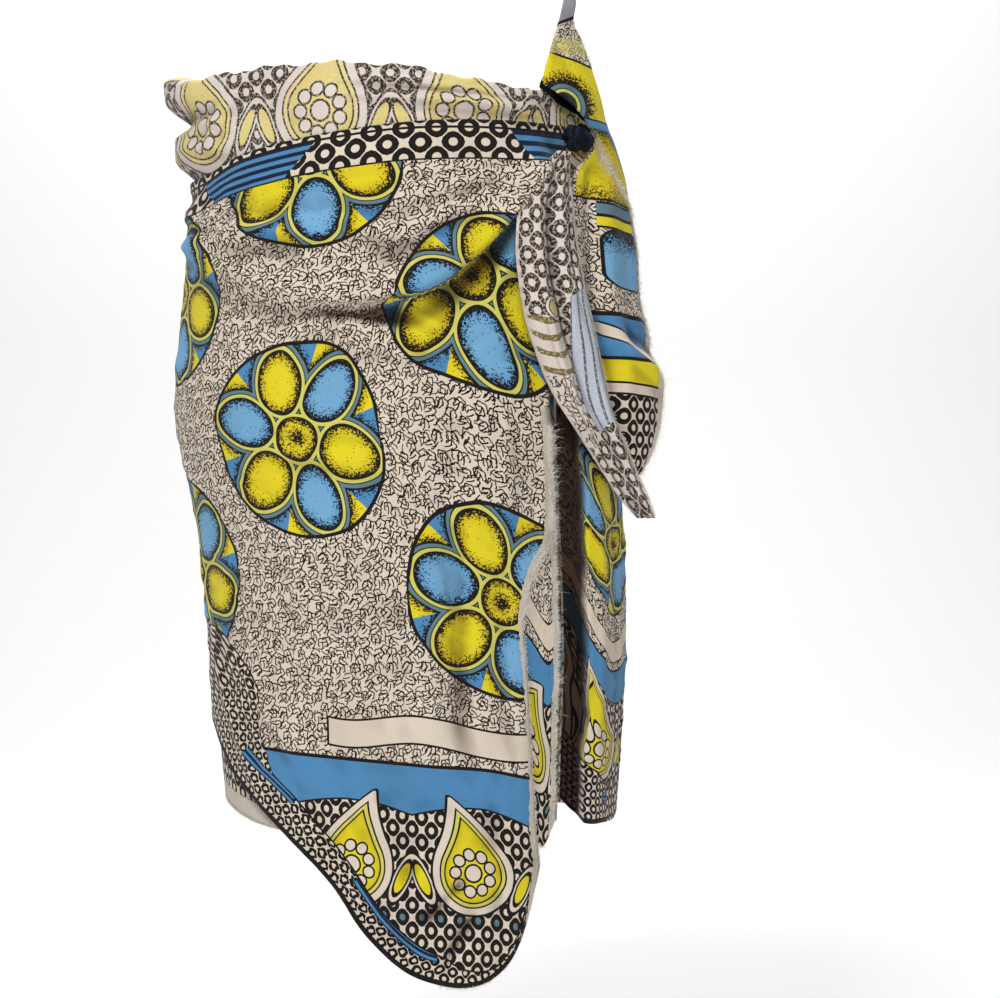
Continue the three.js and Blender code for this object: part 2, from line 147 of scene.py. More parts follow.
# Finer folds, only in this file, each from left to right:
# turn, level, to turn, to level, height, width above, width below
PANEL_CREASES = [
    # the roll under the top border on the left, above the swag
    (-78, -118, -40, -136, 3.5, 10, 4),
    (-44, -134, -12, -150, 3.2, 11, 4),
    (-30, -126, 10, -150, 1.8, 8, 4),
    # gathers that spread from the knot
    (4, -92, 48, -68, 1.6, 5, 3),
    (-8, -120, 46, -76, 2.0, 7, 4),
    (0, -146, 44, -82, 2.2, 7, 4),
    (14, -150, 42, -92, -1.6, 5, 5),
    (24, -205, 40, -108, 2.4, 6, 4),
    (33, -215, 42, -122, 2.2, 5, 4),
    (36, -300, 41, -150, 2.0, 5, 5),
    (32, -400, 38, -200, -1.8, 6, 6),
    (26, -420, 31, -260, 1.8, 7, 6),
    (37, -430, 40, -300, 1.6, 4, 4),
    # soft folds over the front
    (-84, -112, -40, -116, 1.4, 4, 4),
    (-18, -188, 8, -206, 3.0, 10, 5),
    (-22, -205, 4, -222, -2.2, 6, 10),
    (-6, -232, 16, -246, 1.8, 8, 5),
    (-32, -262, -6, -272, -2.4, 9, 7),
    (-34, -286, -8, -300, 1.8, 8, 5),
    (-40, -330, -2, -344, 2.4, 10, 5),
    (-36, -352, 0, -362, -1.8, 6, 9),
    (-78, -250, -54, -300, 1.6, 8, 6),
    (-82, -330, -60, -384, 1.8, 9, 6),
    (-84, -420, -66, -500, 1.8, 9, 7),
    (-72, -500, -44, -640, 2.2, 10, 8),
    (-30, -420, -22, -560, 1.8, 12, 10),
    (-44, -560, -16, -700, -1.8, 9, 9),
    (-16, -600, 0, -750, 1.8, 10, 8),
    (2, -430, 6, -600, 2.0, 12, 10),
    (12, -390, 13, -600, -2.8, 10, 10),
    (19, -420, 21, -640, 2.4, 9, 9),
    (24, -560, 27, -770, 2.0, 8, 6),
    (2, -738, 14, -700, -3.0, 5, 7),
    (8, -776, 17, -726, -3.4, 5, 6),
    (-4, -720, 8, -690, 2.2, 6, 5),
    (-104, -560, -100, -140, 2.0, 10, 10),
    (-110, -600, -108, -200, -1.6, 8, 8),
]
BACK_CREASES = [
    (-150, -180, -122, -120, 2.0, 7, 6),
    (-175, -200, -130, -110, 2.0, 8, 6),
    (-190, -290, -150, -260, 1.8, 8, 5),
    (-205, -335, -160, -320, -1.8, 7, 8),
    (-185, -420, -182, -120, 2.2, 8, 8),
    (-214, -520, -210, -140, 2.2, 8, 8),
    (-240, -130, -205, -190, 2.2, 8, 5),
    (-246, -160, -215, -260, -2.0, 7, 7),
    (-142, -640, -140, -420, 2.0, 9, 9),
    (-160, -650, -158, -460, -2.0, 9, 9),
    (-188, -660, -184, -430, 2.2, 9, 9),
    (-238, -650, -236, -380, 2.0, 9, 9),
]
SIDE_CREASES = [
    (70, -300, 96, -120, 2.0, 7, 5),
    (88, -340, 104, -130, -1.8, 7, 7),
    (58, -640, 60, -360, 1.8, 5, 5),
    (72, -600, 70, -330, -1.6, 6, 6),
    (82, -640, 84, -380, 2.0, 7, 7),
    (98, -650, 100, -420, -1.6, 7, 7),
]
BAND_CREASES = [
    (-12, -8, 50, -24, 2.4, 6, 2.5),
    (-16, -22, 52, -36, 2.6, 6, 2.5),
    (12, -34, 52, -44, 1.8, 5, 3),
    (-88, -26, -52, -40, 2.4, 8, 4),
    (-84, -52, -46, -66, 2.2, 8, 4),
    (-64, -66, -48, 0, 1.6, 8, 8),
    (-34, -56, -26, 0, 1.4, 8, 8),
    (-130, -20, -96, -34, 2.0, 8, 5),
    (-190, -60, -140, -24, 1.8, 8, 5),
    (-250, -30, -200, -56, 2.0, 8, 5),
    (-300, -44, -262, -20, 2.2, 7, 4),
    (-302, -60, -280, -40, 1.8, 6, 4),
]

# level, left x, left y, right x, right y, bow
NARROW_TAIL = [
    (-391, 220, -69, 237, -64, 1),
    (-375, 206, -77, 232, -68, 2),
    (-348, 187, -88, 220, -74, 3),
    (-318, 168, -102, 207, -80, 4),
    (-287, 147, -114, 196, -85, 5),
    (-244, 128, -123, 187, -88, 6),
    (-200, 116, -126, 176, -92, 7),
    (-156, 111, -126, 167, -92, 7),
    (-112, 115, -121, 162, -91, 6),
    (-86, 131, -107, 160, -88, 4),
    (-66.8, 149, -93, 160.5, -88, 1),
]
WIDE_TAIL = [
    (-352, 214, -48, 226, -42, 3),
    (-328, 203, -56, 238, -36, 6),
    (-300, 191, -65, 245, -32, 10),
    (-264, 184, -72, 246, -26, 12),
    (-245, 179, -75, 243, -22, 13),
    (-221, 172, -80, 235, -16, 15),
    (-190, 164, -84, 228, -10, 16),
    (-145, 160, -84, 226, -6, 15),
    (-98, 162, -80, 218, -8, 13),
    (-80, 166, -78, 214, -16, 11),
    (-66, 178, -76, 208, -28, 8),
    (-50, 183, -75, 201, -44, 4),
    (-37, 180, -76, 194, -52, 3),
]

# level, front leaf's left x, back leaf's left x, right x, left y, right y, depth
UP_TAIL = [
    (-46, 178, 182, 196, -90, -66, 6),
    (-33, 166, 162, 192, -98, -66, 12),
    (-24, 155, 148, 190, -98, -68, 16),
    (-16, 145, 140, 188, -98, -70, 16),
    (-10, 136, 133, 186, -98, -72, 16),
    (2, 137, 137, 182, -97, -75, 15),
    (16, 141, 141, 177, -95, -78, 13),
    (36, 146, 146, 169, -92, -82, 10),
    (48, 150, 150, 163, -91, -83, 8),
    (66, 154, 154, 165, -90, -85, 6),
    (80, 156, 156, 162, -88, -86, 4),
]

KNOT_CENTRE = (167.4, -84.4, -54)
KNOT_HALF = (15, 12, 15)


# ---- helpers on arrays ----


def mix(a, b, share):
    return a + (b - a) * share


def smooth(low, high, value):
    share = np.clip((np.asarray(value, float) - low) / (high - low), 0, 1)
    return share * share * (3 - 2 * share)


def turned(x, y, cosine, sine):
    """x and y on axes that are turned, as numbers of any sort."""
    return x * cosine + y * sine, y * cosine - x * sine


def read(table, at, column=1):
    """Reads a table's column at places along its first one, on a smooth curve."""
    rows = np.array(table, float)
    keys = rows[:, 0]
    values = rows[:, column]
    slopes = np.empty(len(keys))
    slopes[1:-1] = (values[2:] - values[:-2]) / (keys[2:] - keys[:-2])
    slopes[0] = (values[1] - values[0]) / (keys[1] - keys[0])
    slopes[-1] = (values[-1] - values[-2]) / (keys[-1] - keys[-2])
    at = np.clip(np.asarray(at, float), keys[0], keys[-1])
    i = np.clip(np.searchsorted(keys, at, side="right") - 1, 0, len(keys) - 2)
    span = keys[i + 1] - keys[i]
    t = (at - keys[i]) / span
    blend = t * t * (3 - 2 * t)
    return (
        mix(values[i], values[i + 1], blend)
        + span * slopes[i] * t * (1 - t) ** 2
        - span * slopes[i + 1] * t * t * (1 - t)
    )


def on_hips(turn, level, lift):
    angle = np.radians(turn)
    wide = read(HIPS, level, 1) + lift
    deep = read(HIPS, level, 2) + lift
    x = read(HIPS, level, 3) + wide * np.sin(angle)
    y = read(HIPS, level, 4) - deep * np.cos(angle)
    return np.stack([x, y, level + 0 * x], axis=-1)


def folds_at(folds, turn, level, ends=(-0.15, 0.25, 0.7, 1.15)):
    """The height of folds that die out at both ends. A row may give one width, or one
    above and one below; ends are shares of its length."""
    height = np.zeros(np.broadcast(turn, level).shape)
    for turn_a, level_a, turn_b, level_b, tall, *widths in folds:
        along_x = (turn_b - turn_a) * DEGREE
        along_z = level_b - level_a
        from_x = (turn - turn_a) * DEGREE
        from_z = level - level_a
        long = math.hypot(along_x, along_z)
        share = (from_x * along_x + from_z * along_z) / long**2
        aside = (from_x * along_z - from_z * along_x) / long
        wide = np.where(aside < 0, widths[0], widths[-1])
        taper = smooth(ends[0], ends[1], share) * (1 - smooth(ends[2], ends[3], share))
        height += tall * taper * np.exp(-((aside / wide) ** 2))
    return height


def creases_at(creases, turn, level):
    return folds_at(creases, turn, level, (-0.12, 0.25, 0.75, 1.12))


def rumples(turn, level, seed):
    """Small wrinkles in patches, their crests sharper than their hollows."""
    dice = np.random.default_rng(seed)
    height = np.zeros(np.broadcast(turn, level).shape)
    for wave in np.linspace(16, 64, 14):
        angle = dice.uniform(-0.7, 0.9) + (math.pi / 2 if wave > 40 else 0.9)
        phase, other = dice.uniform(0, 6.3, 2)
        along, aside = turned(turn * DEGREE, level, math.cos(angle), math.sin(angle))
        bent = along + 0.22 * wave * np.sin(aside / wave * 1.1 + other)
        patch = smooth(0.1, 0.9, np.sin(aside / wave * 0.9 + phase) * np.sin(bent / wave + other))
        crest = (1 - np.abs(np.sin(math.pi * bent / wave + phase))) ** 2
        height += patch * crest * wave * 0.03
    return height


# How far round the cloth a turn is, in millimetres from the front, on one oval.
ARC_WIDE, ARC_DEEP = 196, 138
ARC_TURNS = np.linspace(-310, 130, 881)
ARC_ANGLES = np.radians(ARC_TURNS)
ARC_STEPS = np.hypot(ARC_WIDE * np.cos(ARC_ANGLES), ARC_DEEP * np.sin(ARC_ANGLES))
ARC = np.cumsum(ARC_STEPS) * math.radians(ARC_TURNS[1] - ARC_TURNS[0])
ARC -= np.interp(0, ARC_TURNS, ARC)


def round_by(turn):
    return np.interp(turn, ARC_TURNS, ARC)


def grid(columns, rows):
    across, down = np.meshgrid(np.linspace(0, 1, columns + 1), np.linspace(0, 1, rows + 1))
    return across, down


# ---- shells ----

FAR = 900  # a distance that a map gives where its edge or strip isn't near
HOLLOW_DEPTH = 3.0  # a point this far below those around it is in full shade
GRIDS = {}  # each stretch's middle surface, for the fibres along its edges


def cavity(points, normal, passes=26):
    """How far each point lies below those around it, in millimetres."""
    blurred = points
    for _ in range(passes):
        padded = np.pad(blurred, ((1, 1), (0, 0), (0, 0)), mode="edge")
        blurred = (padded[:-2] + 2 * padded[1:-1] + padded[2:]) / 4
        padded = np.pad(blurred, ((0, 0), (1, 1), (0, 0)), mode="edge")
        blurred = (padded[:, :-2] + 2 * padded[:, 1:-1] + padded[:, 2:]) / 4
    return ((blurred - points) * normal).sum(axis=-1)


def faces_of(index):
    """Four corners for each cell of a grid of point numbers."""
    corners = (index[:-1, :-1], index[1:, :-1], index[1:, 1:], index[:-1, 1:])
    return np.stack([corner.ravel() for corner in corners], 1)


def show(name, points, faces, maps, materials, flat=False):
    """Puts a mesh into the scene. faces are rows of point numbers, and a map gives two
    numbers for each point. Points and maps are in millimetres."""
    mesh = bpy.data.meshes.new(name)
    mesh.from_pydata((points * MM).tolist(), [], faces.tolist(), shade_flat=flat)
    for key, numbers in maps.items():
        layer = mesh.uv_layers.new(name=key, do_init=False)
        corners = (numbers * MM)[faces.ravel()]
        layer.uv.foreach_set("vector", corners.astype(np.float32).ravel())
    for material in materials:
        mesh.materials.append(material)
    piece = bpy.data.objects.new(name, mesh)
    bpy.context.scene.collection.objects.link(piece)
    return piece


def settle(piece, node):
    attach(piece, "root")
    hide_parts(node)
    return piece


def normals_of(points):
    normal = np.cross(np.gradient(points, axis=0), np.gradient(points, axis=1))
    return normal / (np.linalg.norm(normal, axis=-1, keepdims=True) + 1e-12)


def shell(name, points, maps, materials, strip=FAR, hollow=0):
    """A thin closed cloth over a grid of points in millimetres, rows down and columns
    across to the right as seen from outside. maps are named pairs of arrays, strip the
    distance outside the lattice strip along the hem."""
    GRIDS[name] = points
    normal = normals_of(points)
    # painted shade: 0 to 1, darker where a point lies below those around it, with hollow added
    shade = np.clip(cavity(points, normal) / HOLLOW_DEPTH + hollow, 0, 1)
    maps = {"Edges": (FAR, FAR), "Hem": (0, FAR), **maps, "Shade": (shade / MM, strip)}
    outer = points + normal * CLOTH / 2
    inner = points - normal * CLOTH / 2
    count = shade.size
    index = np.arange(count).reshape(shade.shape)
    front = faces_of(index)
    faces = [front, front[:, [0, 3, 2, 1]] + count]
    for rim in (index[0], index[-1, ::-1], index[::-1, 0], index[:, -1]):
        a, b = rim[:-1], rim[1:]
        faces.append(np.stack([a, b, b + count, a + count], 1))
    faces = np.concatenate(faces)
    flat_maps = {}
    for key, (u, v) in maps.items():
        pair = np.stack([u + 0.0 * shade, v + 0.0 * shade], -1).reshape(-1, 2)
        flat_maps[key] = np.concatenate([pair, pair])
    both = np.concatenate([outer.reshape(-1, 3), inner.reshape(-1, 3)])
    piece = show(name + "_cloth", both, faces, flat_maps, materials)
    slots = np.zeros(len(faces), np.int32)
    slots[len(front) : 2 * len(front)] = 1
    piece.data.polygons.foreach_set("material_index", slots)
    return settle(piece, name)


# ---- numbers in a material ----

TREE = None  # the nodes of the material that is being made


class Wire:
    """A number on its way through a material's nodes."""

    def __init__(self, socket):
        self.socket = socket

    def __add__(self, other):
        return maths("ADD", self, other)

    def __radd__(self, other):
        return maths("ADD", other, self)

    def __sub__(self, other):
        return maths("SUBTRACT", self, other)

    def __rsub__(self, other):
        return maths("SUBTRACT", other, self)

    def __mul__(self, other):
        return maths("MULTIPLY", self, other)

    def __rmul__(self, other):
        return maths("MULTIPLY", other, self)

    def __truediv__(self, other):
        return maths("DIVIDE", self, other)


def feed(node, values):
    """Gives a node its inputs: numbers, or numbers on their way."""
    for socket, value in zip(node.inputs, values):
        if isinstance(value, Wire):
            TREE.links.new(value.socket, socket)
        else:
            socket.default_value = value


def maths(operation, *values):
    node = TREE.nodes.new("ShaderNodeMath")
    node.operation = operation
    feed(node, values)
    return Wire(node.outputs[0])


less = partial(maths, "LESS_THAN")
more = partial(maths, "GREATER_THAN")
either = partial(maths, "MAXIMUM")
lesser = partial(maths, "MINIMUM")
size_of = partial(maths, "ABSOLUTE")
floor = partial(maths, "FLOOR")
part_of = partial(maths, "FRACT")
sine_of = partial(maths, "SINE")
cosine_of = partial(maths, "COSINE")
angle_of = partial(maths, "ARCTAN2")


def between(value, low, high):
    return more(value, low) * less(value, high)


def length(x, y):
    return maths("SQRT", x * x + y * y)


def odd(number):
    return maths("MODULO", size_of(number), 2)


def ramp(value, low, high):
    """0 at low, 1 at high, straight between."""
    node = TREE.nodes.new("ShaderNodeMapRange")
    TREE.links.new(value.socket, node.inputs["Value"])
    node.inputs["From Min"].default_value = low
    node.inputs["From Max"].default_value = high
    return Wire(node.outputs["Result"])


def point_at(x, y):
    node = TREE.nodes.new("ShaderNodeCombineXYZ")
    feed(node, (x, y))
    return node.outputs[0]


def map_pair(name):
    """A UV map's two numbers, in millimetres."""
    node = TREE.nodes.new("ShaderNodeUVMap")
    node.uv_map = name
    parts = TREE.nodes.new("ShaderNodeSeparateXYZ")
    TREE.links.new(node.outputs[0], parts.inputs[0])
    return Wire(parts.outputs[0]) * (1 / MM), Wire(parts.outputs[1]) * (1 / MM)


def texture(kind, x, y, **inputs):
    """A texture node on the plane of x and y."""
    node = TREE.nodes.new("ShaderNodeTex" + kind)
    setattr(node, "voronoi_dimensions" if kind == "Voronoi" else "noise_dimensions", "2D")
    TREE.links.new(point_at(x, y), node.inputs["Vector"])
    for key, value in inputs.items():
        node.inputs[key].default_value = value
    return node


def noise(x, y, size, detail=2.0):
    return Wire(texture("Noise", x, y, Scale=1 / size, Detail=detail).outputs["Fac"])


def chances(node):
    """The three random numbers in the colour of a texture node."""
    parts = TREE.nodes.new("ShaderNodeSeparateColor")
    TREE.links.new(node.outputs["Color"], parts.inputs[0])
    return [Wire(socket) for socket in parts.outputs[:3]]


def paint(under, over, mask, blend="MIX"):
    """over where mask is 1, under where it is 0, each a colour or a socket. With the
    blend MULTIPLY, over is a tint."""
    node = TREE.nodes.new("ShaderNodeMix")
    node.data_type = "RGBA"
    node.blend_type = blend
    TREE.links.new(mask.socket, node.inputs[0])
    for socket, value in ((node.inputs[6], under), (node.inputs[7], over)):
        if isinstance(value, tuple):
            socket.default_value = (*value, 1)
        else:
            TREE.links.new(value, socket)
    return node.outputs[2]


def rings(look, tones, distance, rows):
    """Each row's tone where the distance is under its limit, one over the other."""
    for limit, key in rows:
        look = paint(look, tones[key], less(distance, limit))
    return look


def bands(look, tones, place, rows, here=1):
    """Each row's tone where the place is between its two numbers."""
    for low, high, key in rows:
        look = paint(look, tones[key], between(place, low, high) * here)
    return look


def rgb(red, green, blue):
    """A colour from the values a picture shows, 0 to 255."""
    return tuple(((value / 255 + 0.055) / 1.055) ** 2.4 for value in (red, green, blue))


# ---- the print ----

REPEAT = 330  # its width, in which the flowers come twice
DROP_GAP = 108  # between the drops of the lower border
SIDE_SHIFT = 133  # how far it is moved round on the side, for flowers beside the tails

FRONT = {
    "cream": rgb(226, 212, 194),
    "dark": rgb(22, 16, 12),
    "yellow": rgb(232, 214, 34),
    "ochre": rgb(176, 140, 14),
    "green": rgb(214, 208, 100),
    "blue": rgb(80, 139, 186),
    "pale": rgb(118, 174, 214),
    "navy": rgb(16, 30, 58),
    "teal": rgb(98, 130, 142),
}
REVERSE = {
    "cream": rgb(224, 212, 202),
    "dark": rgb(54, 42, 30),
    "yellow": rgb(226, 208, 122),
    "ochre": rgb(214, 190, 104),
    "green": rgb(228, 214, 142),
    "blue": rgb(190, 200, 216),
    "pale": rgb(206, 212, 222),
    "navy": rgb(92, 96, 108),
    "teal": rgb(186, 190, 192),
}


def cells(x, y, size, turn, seed):
    """Places in the cells of a turned grid, moved about a little, and random numbers."""
    along, aside = turned(x, y, math.cos(turn) / size, math.sin(turn) / size)
    along = along + seed
    aside = aside + seed * 1.7
    dice = chances(texture("WhiteNoise", floor(along), floor(aside)))
    local_x = part_of(along) - 0.5 - (dice[0] - 0.5) * 0.28
    local_y = part_of(aside) - 0.5 - (dice[1] - 0.5) * 0.28
    return local_x, local_y, dice


def leaves(x, y, size, turn, seed):
    """Small round leaves in outline: scalloped, open at the foot, with a bent vein."""
    local_x, local_y, dice = cells(x, y, size, turn, seed)
    lean = 0.9 + (dice[0] - 0.5) * 2.4
    along, aside = turned(local_y, local_x, cosine_of(lean), sine_of(lean))
    reach = length(aside * 1.1, along)
    angle = angle_of(aside, along)
    edge = size_of(sine_of(angle * 2.5)) * 0.09 + 0.24 + dice[2] * 0.1
    outline = less(size_of(reach - edge), 0.052) * less(size_of(angle), 2.3)
    bend = aside + along * along * 0.6
    return either(outline, less(size_of(bend), 0.045) * between(along, -0.48, 0.1))


def strokes(x, y, size, turn, seed):
    """Short bent strokes, slanting up to the right."""
    local_x, local_y, dice = cells(x, y, size, turn, seed)
    angle = dice[2] * 1.5 + 0.35
    along, aside = turned(local_x, local_y, cosine_of(angle), sine_of(angle))
    aside = aside + along * along * (dice[0] - 0.5) * 3
    return less(size_of(aside), 0.045) * less(size_of(along), 0.42)


def scribble(tones, x, y):
    """The field's ground: dark leaves and strokes that run into each other, on cream."""
    mask = leaves(x, y, 12.0, 0.12, 3.1)
    mask = either(mask, leaves(x, y, 11.2, 0.9, 7.7))
    mask = either(mask, strokes(x, y, 9.6, -0.2, 12.9))
    return paint(tones["cream"], tones["dark"], mask)


def lattice(tones, x, y, wide, tall):
    """Cream dots in dark petals, with lines that cross between, and where the dots are."""
    along = x * (1 / wide) + y * (1 / tall)
    aside = x * (1 / wide) - y * (1 / tall)
    local_x = size_of(part_of(along) - 0.5)
    local_y = size_of(part_of(aside) - 0.5)
    dot = less(length(local_x, local_y), 0.2)
    border = 0.5 - either(local_x, local_y)
    line = less(border, ramp(lesser(local_x, local_y), 0.16, 0.5) * 0.17 + 0.03)
    return paint(tones["dark"], tones["cream"], either(dot, line)), dot


def spokes(x, y, count, start):
    """The nearest of some spokes round a point: its number, and x and y along it."""
    angle = angle_of(y, x) * (count / (2 * math.pi)) + start
    number = floor(angle + 0.5)
    angle = (angle - number) * (2 * math.pi / count)
    reach = length(x, y)
    return number, reach * cosine_of(angle), reach * sine_of(angle)


def stipple(x, y):
    """The distance to the nearest dot of a fine random stipple, and that dot's chance."""
    node = texture("Voronoi", x, y, Scale=1 / 1.35)
    return Wire(node.outputs["Distance"]), chances(node)[0]


def stippled(dots, fullness):
    distance, chance = dots
    return less(chance, fullness + 0.015) * less(distance, fullness * 0.4 + 0.34)


def shaded(tones, dots, key, fullness):
    """A fill that darkens towards its edge, with dots that thicken there."""
    light, deep = {"yellow": ("yellow", "ochre"), "blue": ("pale", "blue")}[key]
    body = paint(tones[light], tones[deep], fullness * 0.75)
    return paint(body, tones["dark"], stippled(dots, fullness))


def flowers(colour, x, height, tones, dots):
    """Round flowers in a half-drop repeat: six petals in yellow and blue round an eye."""
    across, drop, radius = REPEAT / 2, 250, 84
    eye_radius, lowest = 19, 285
    column = floor(x / across)
    level = height + odd(column) * (drop / 2) + 55
    row = floor(level / drop)
    local_x = x - (column + 0.5) * across
    local_y = level - (row + 0.5) * drop
    reach = length(local_x, local_y)
    number, petal_x, petal_y = spokes(local_x, local_y, 6, 0.25)
    petal = (length((petal_x - 51) / 27, petal_y / 21) - 1) * 23
    odd_petal = less(size_of(part_of(number / 2)), 0.25)
    eye = reach - eye_radius
    edge = lesser(petal, eye)
    high = more(height - local_y, lowest)
    full = ramp(edge, -13, -0.5)
    full = full * full * 1.1
    full = either(full, ramp(reach, 13, 2) * less(eye, 0))
    yellow = shaded(tones, dots, "yellow", full)
    blue = shaded(tones, dots, "blue", full)
    body = paint(blue, yellow, either(odd_petal, less(eye, petal)))
    outer_full = ramp(edge, 20, 9)
    outer_full = outer_full * outer_full
    outer = paint(shaded(tones, dots, "yellow", outer_full), tones["blue"], odd_petal)
    look = paint(outer, tones["dark"], odd_petal * stippled(dots, outer_full))
    lines = [(9.0, "dark"), (7.8, "teal"), (4.9, "dark"), (4.0, "green"), (1.2, "dark")]
    look = rings(look, tones, edge, lines)
    look = paint(look, body, less(edge, 0.0))
    look = paint(look, tones["dark"], more(reach, radius - 3.0))
    return paint(colour, look, less(reach, radius) * high)


def drop_distance(x, y, big, small, tall):
    """Signed distance to an upright drop with a round foot and a narrow tip."""
    slope = (big - small) / tall
    across = math.sqrt(1 - slope * slope)
    side = size_of(x)
    along = side * -slope + y * across
    foot = length(x, y) - big
    tip = length(x, y - tall) - small
    flank = side * across + y * slope - big
    below = less(along, 0)
    above = more(along, across * tall)
    flank = flank * (1 - below) * (1 - above)
    return flank + foot * below + tip * above


def paisleys(colour, x, height, tones, foot):
    """Leaning drops in the lower border, with a ring of beads, and leaves between them."""
    flip = odd(floor(x / DROP_GAP)) * 2 - 1
    local_x = (part_of(x / DROP_GAP) - 0.5) * DROP_GAP
    rise = height - foot
    bend = either(rise, 0)
    leaning = local_x - bend * bend * flip * 0.0052
    edge = drop_distance(leaning, rise, 38, 4, 62)
    # two leaves stand between each pair of drops
    side = DROP_GAP / 2 - size_of(local_x)
    leaf_x, leaf_y = turned(side - 9, rise + 8, 0.9, 0.42)
    leaf = (length(leaf_x / 8.5, leaf_y / 27) - 1) * 8.5
    lines = [(0, "dark"), (-1.4, "cream"), (-2.8, "dark"), (-4.2, "yellow")]
    colour = rings(colour, tones, leaf, lines)
    full = ramp(edge, -22, -12)
    lines = [(-7.6, "dark"), (-9.0, "green"), (-11.6, "dark")]
    look = rings(tones["cream"], tones, edge, lines)
    fill = paint(tones["yellow"], tones["ochre"], full * full * 0.45)
    look = paint(look, fill, less(edge, -13.0))
    _, bead_x, bead_y = spokes(leaning, rise, 9, -0.5)
    look = rings(look, tones, length(bead_x - 16, bead_y), [(5.9, "dark"), (4.3, "cream")])
    look = rings(look, tones, length(leaning, rise), [(8.4, "dark"), (6.6, "cream")])
    look = paint(look, tones["dark"], more(edge, -2.0))
    return paint(colour, look, less(edge, 0))


def barred(tones, aside, pitch):
    """Blue bars on navy."""
    return paint(tones["navy"], tones["blue"], between(part_of(aside / pitch), 0.3, 0.8))


def lower_border(look, x, height, tones):
    """From the field down: a bare ribbon, a blue band, then drops on the lattice."""
    middle, repeat, long = 199, 420, 330  # of the ribbon, which comes in lengths
    ribbon = size_of(height - (sine_of(x / 21 + 1.2) * 4.2 + middle))
    run = part_of(x / repeat + 0.181) * repeat
    look = paint(look, tones["dark"], less(ribbon, 12.8) * between(run, 0, long))
    look = paint(look, tones["cream"], less(ribbon, 11.0) * between(run, 2, long - 2))
    bottom = height - 131 - size_of(sine_of(x * (math.pi / DROP_GAP))) * 9
    ground, dot = lattice(tones, x, height, 17.0, 21.5)
    ground = paint(ground, tones["teal"], dot * between(height, 40, 51))
    look = rings(look, tones, height, [(174.5, "dark"), (171.5, "blue")])
    look = paint(look, tones["dark"], less(bottom, 0))
    look = paint(look, ground, less(bottom, -1.6))
    return paisleys(look, x, height, tones, 84)


def upper_border(look, x, from_top, tones):
    """The band along the top edge, with its turned hem and two blocks of bars."""
    band, _ = lattice(tones, x, from_top + 5, 26, 26)
    left = between(x - from_top * 0.9, -208, 200) * less(x + from_top, -66)
    right = between(x - from_top * 0.6, 84, 200)
    look_left = barred(tones, from_top - 8.5, 7.2)
    look_right = barred(tones, from_top - 10.0, 9.8)
    below_fold = more(from_top, 8.4)
    band = paint(band, look_left, left * below_fold)
    band = paint(band, look_right, right * below_fold)
    band = bands(band, tones, from_top, [(6.6, 8.8, "dark")])
    band = paint(band, tones["dark"], more(from_top, 35))
    return paint(look, band, less(from_top, 36.5))


def hem_strip(look, tones):
    """The lattice strip along the slanting hem, and the blue lines on its inner edge."""
    along, from_hem = map_pair("Hem")
    _, inner = map_pair("Shade")
    strip, _ = lattice(tones, along, from_hem, 14.0, 13.0)
    lined = either(between(along, 88, 156), between(along, 236, 352))
    place = from_hem + ramp(along, 150, 238) * 9 - 27
    strip = paint(strip, barred(tones, place, 4.6), between(place, 0, 9) * lined)
    strip = paint(strip, tones["dark"], less(from_hem, 4.5))
    look = paint(look, tones["dark"], less(inner, 1.6))
    return paint(look, strip, less(inner, 0))


def whole_print(tones):
    """The cloth's print from its maps: Cloth is the way round and the height above the
    hem, Edges the distances from the top and side edges, Hem the slanting hem's own."""
    x, height = map_pair("Cloth")
    from_top, from_side = map_pair("Edges")
    dots = stipple(x, height)
    look = scribble(tones, x, height)
    warp = noise(x, height, 70, 1.0) * 10 - 5
    look = flowers(look, x + warp, height + warp, tones, dots)
    look = lower_border(look, x, height, tones)
    look = hem_strip(look, tones)
    look = upper_border(look, x, from_top, tones)
    fuzz = noise(x * 3.0, height, 6.0, 2.0) * 5
    raw = paint(rgb(232, 226, 216), rgb(176, 160, 138), noise(x * 3.0, height, 2.4))
    return paint(look, raw, less(from_side, fuzz + 2.5))


def folded_print(tones):
    """The border's reverse on the waist fold: large drops on the lattice."""
    x, height = map_pair("Cloth")
    ground, _ = lattice(tones, x, height, 26, 26)
    look = paint(ground, tones["yellow"], more(height, 128))
    look = bands(look, tones, height, [(126, 128.4, "dark")])
    return paisleys(look, x * 0.82, height * 0.82 + 4, tones, 50)


def up_tail_print(tones):
    """Bands round the hollow above the knot, whose opening is painted near-black as shadow, then
    stipple, scribble and a grey tip.
    """
    x, level = map_pair("Cloth")
    dots = stipple(x, level)
    hollow = length(x + 5, (level + 29) * 0.9)
    scribbled = scribble(tones, x * 1.5, level * 1.3)
    yellow = shaded(tones, dots, "yellow", ramp(hollow, 31, 21))
    seam = level + x * 0.25
    look = paint(yellow, scribbled, more(seam, 13))
    look = bands(look, tones, seam, [(13, 15, "dark")])
    faded = paint(scribbled, tones["green"], noise(x, level, 7) * less(level, 32))
    look = paint(look, faded, more(level, 18))
    tip = level - x * 0.6
    look = paint(look, rgb(158, 158, 166), more(tip, 50))
    look = bands(look, tones, tip, [(49.6, 52.4, "dark")])
    lines = [(19.5, "dark"), (18.3, "teal"), (14.6, "dark"), (13.6, "green"), (10.8, "navy")]
    look = rings(look, tones, hollow, lines)
    # painted shadow: the opening of the loop above the knot is near-black
    look = paint(look, rgb(10, 11, 16), less(hollow + (noise(x, level, 6) - 0.5) * 5, 10))
    return bands(look, tones, level, [(-60, -38, "dark"), (-60, -39.6, "blue")], more(x, 4))


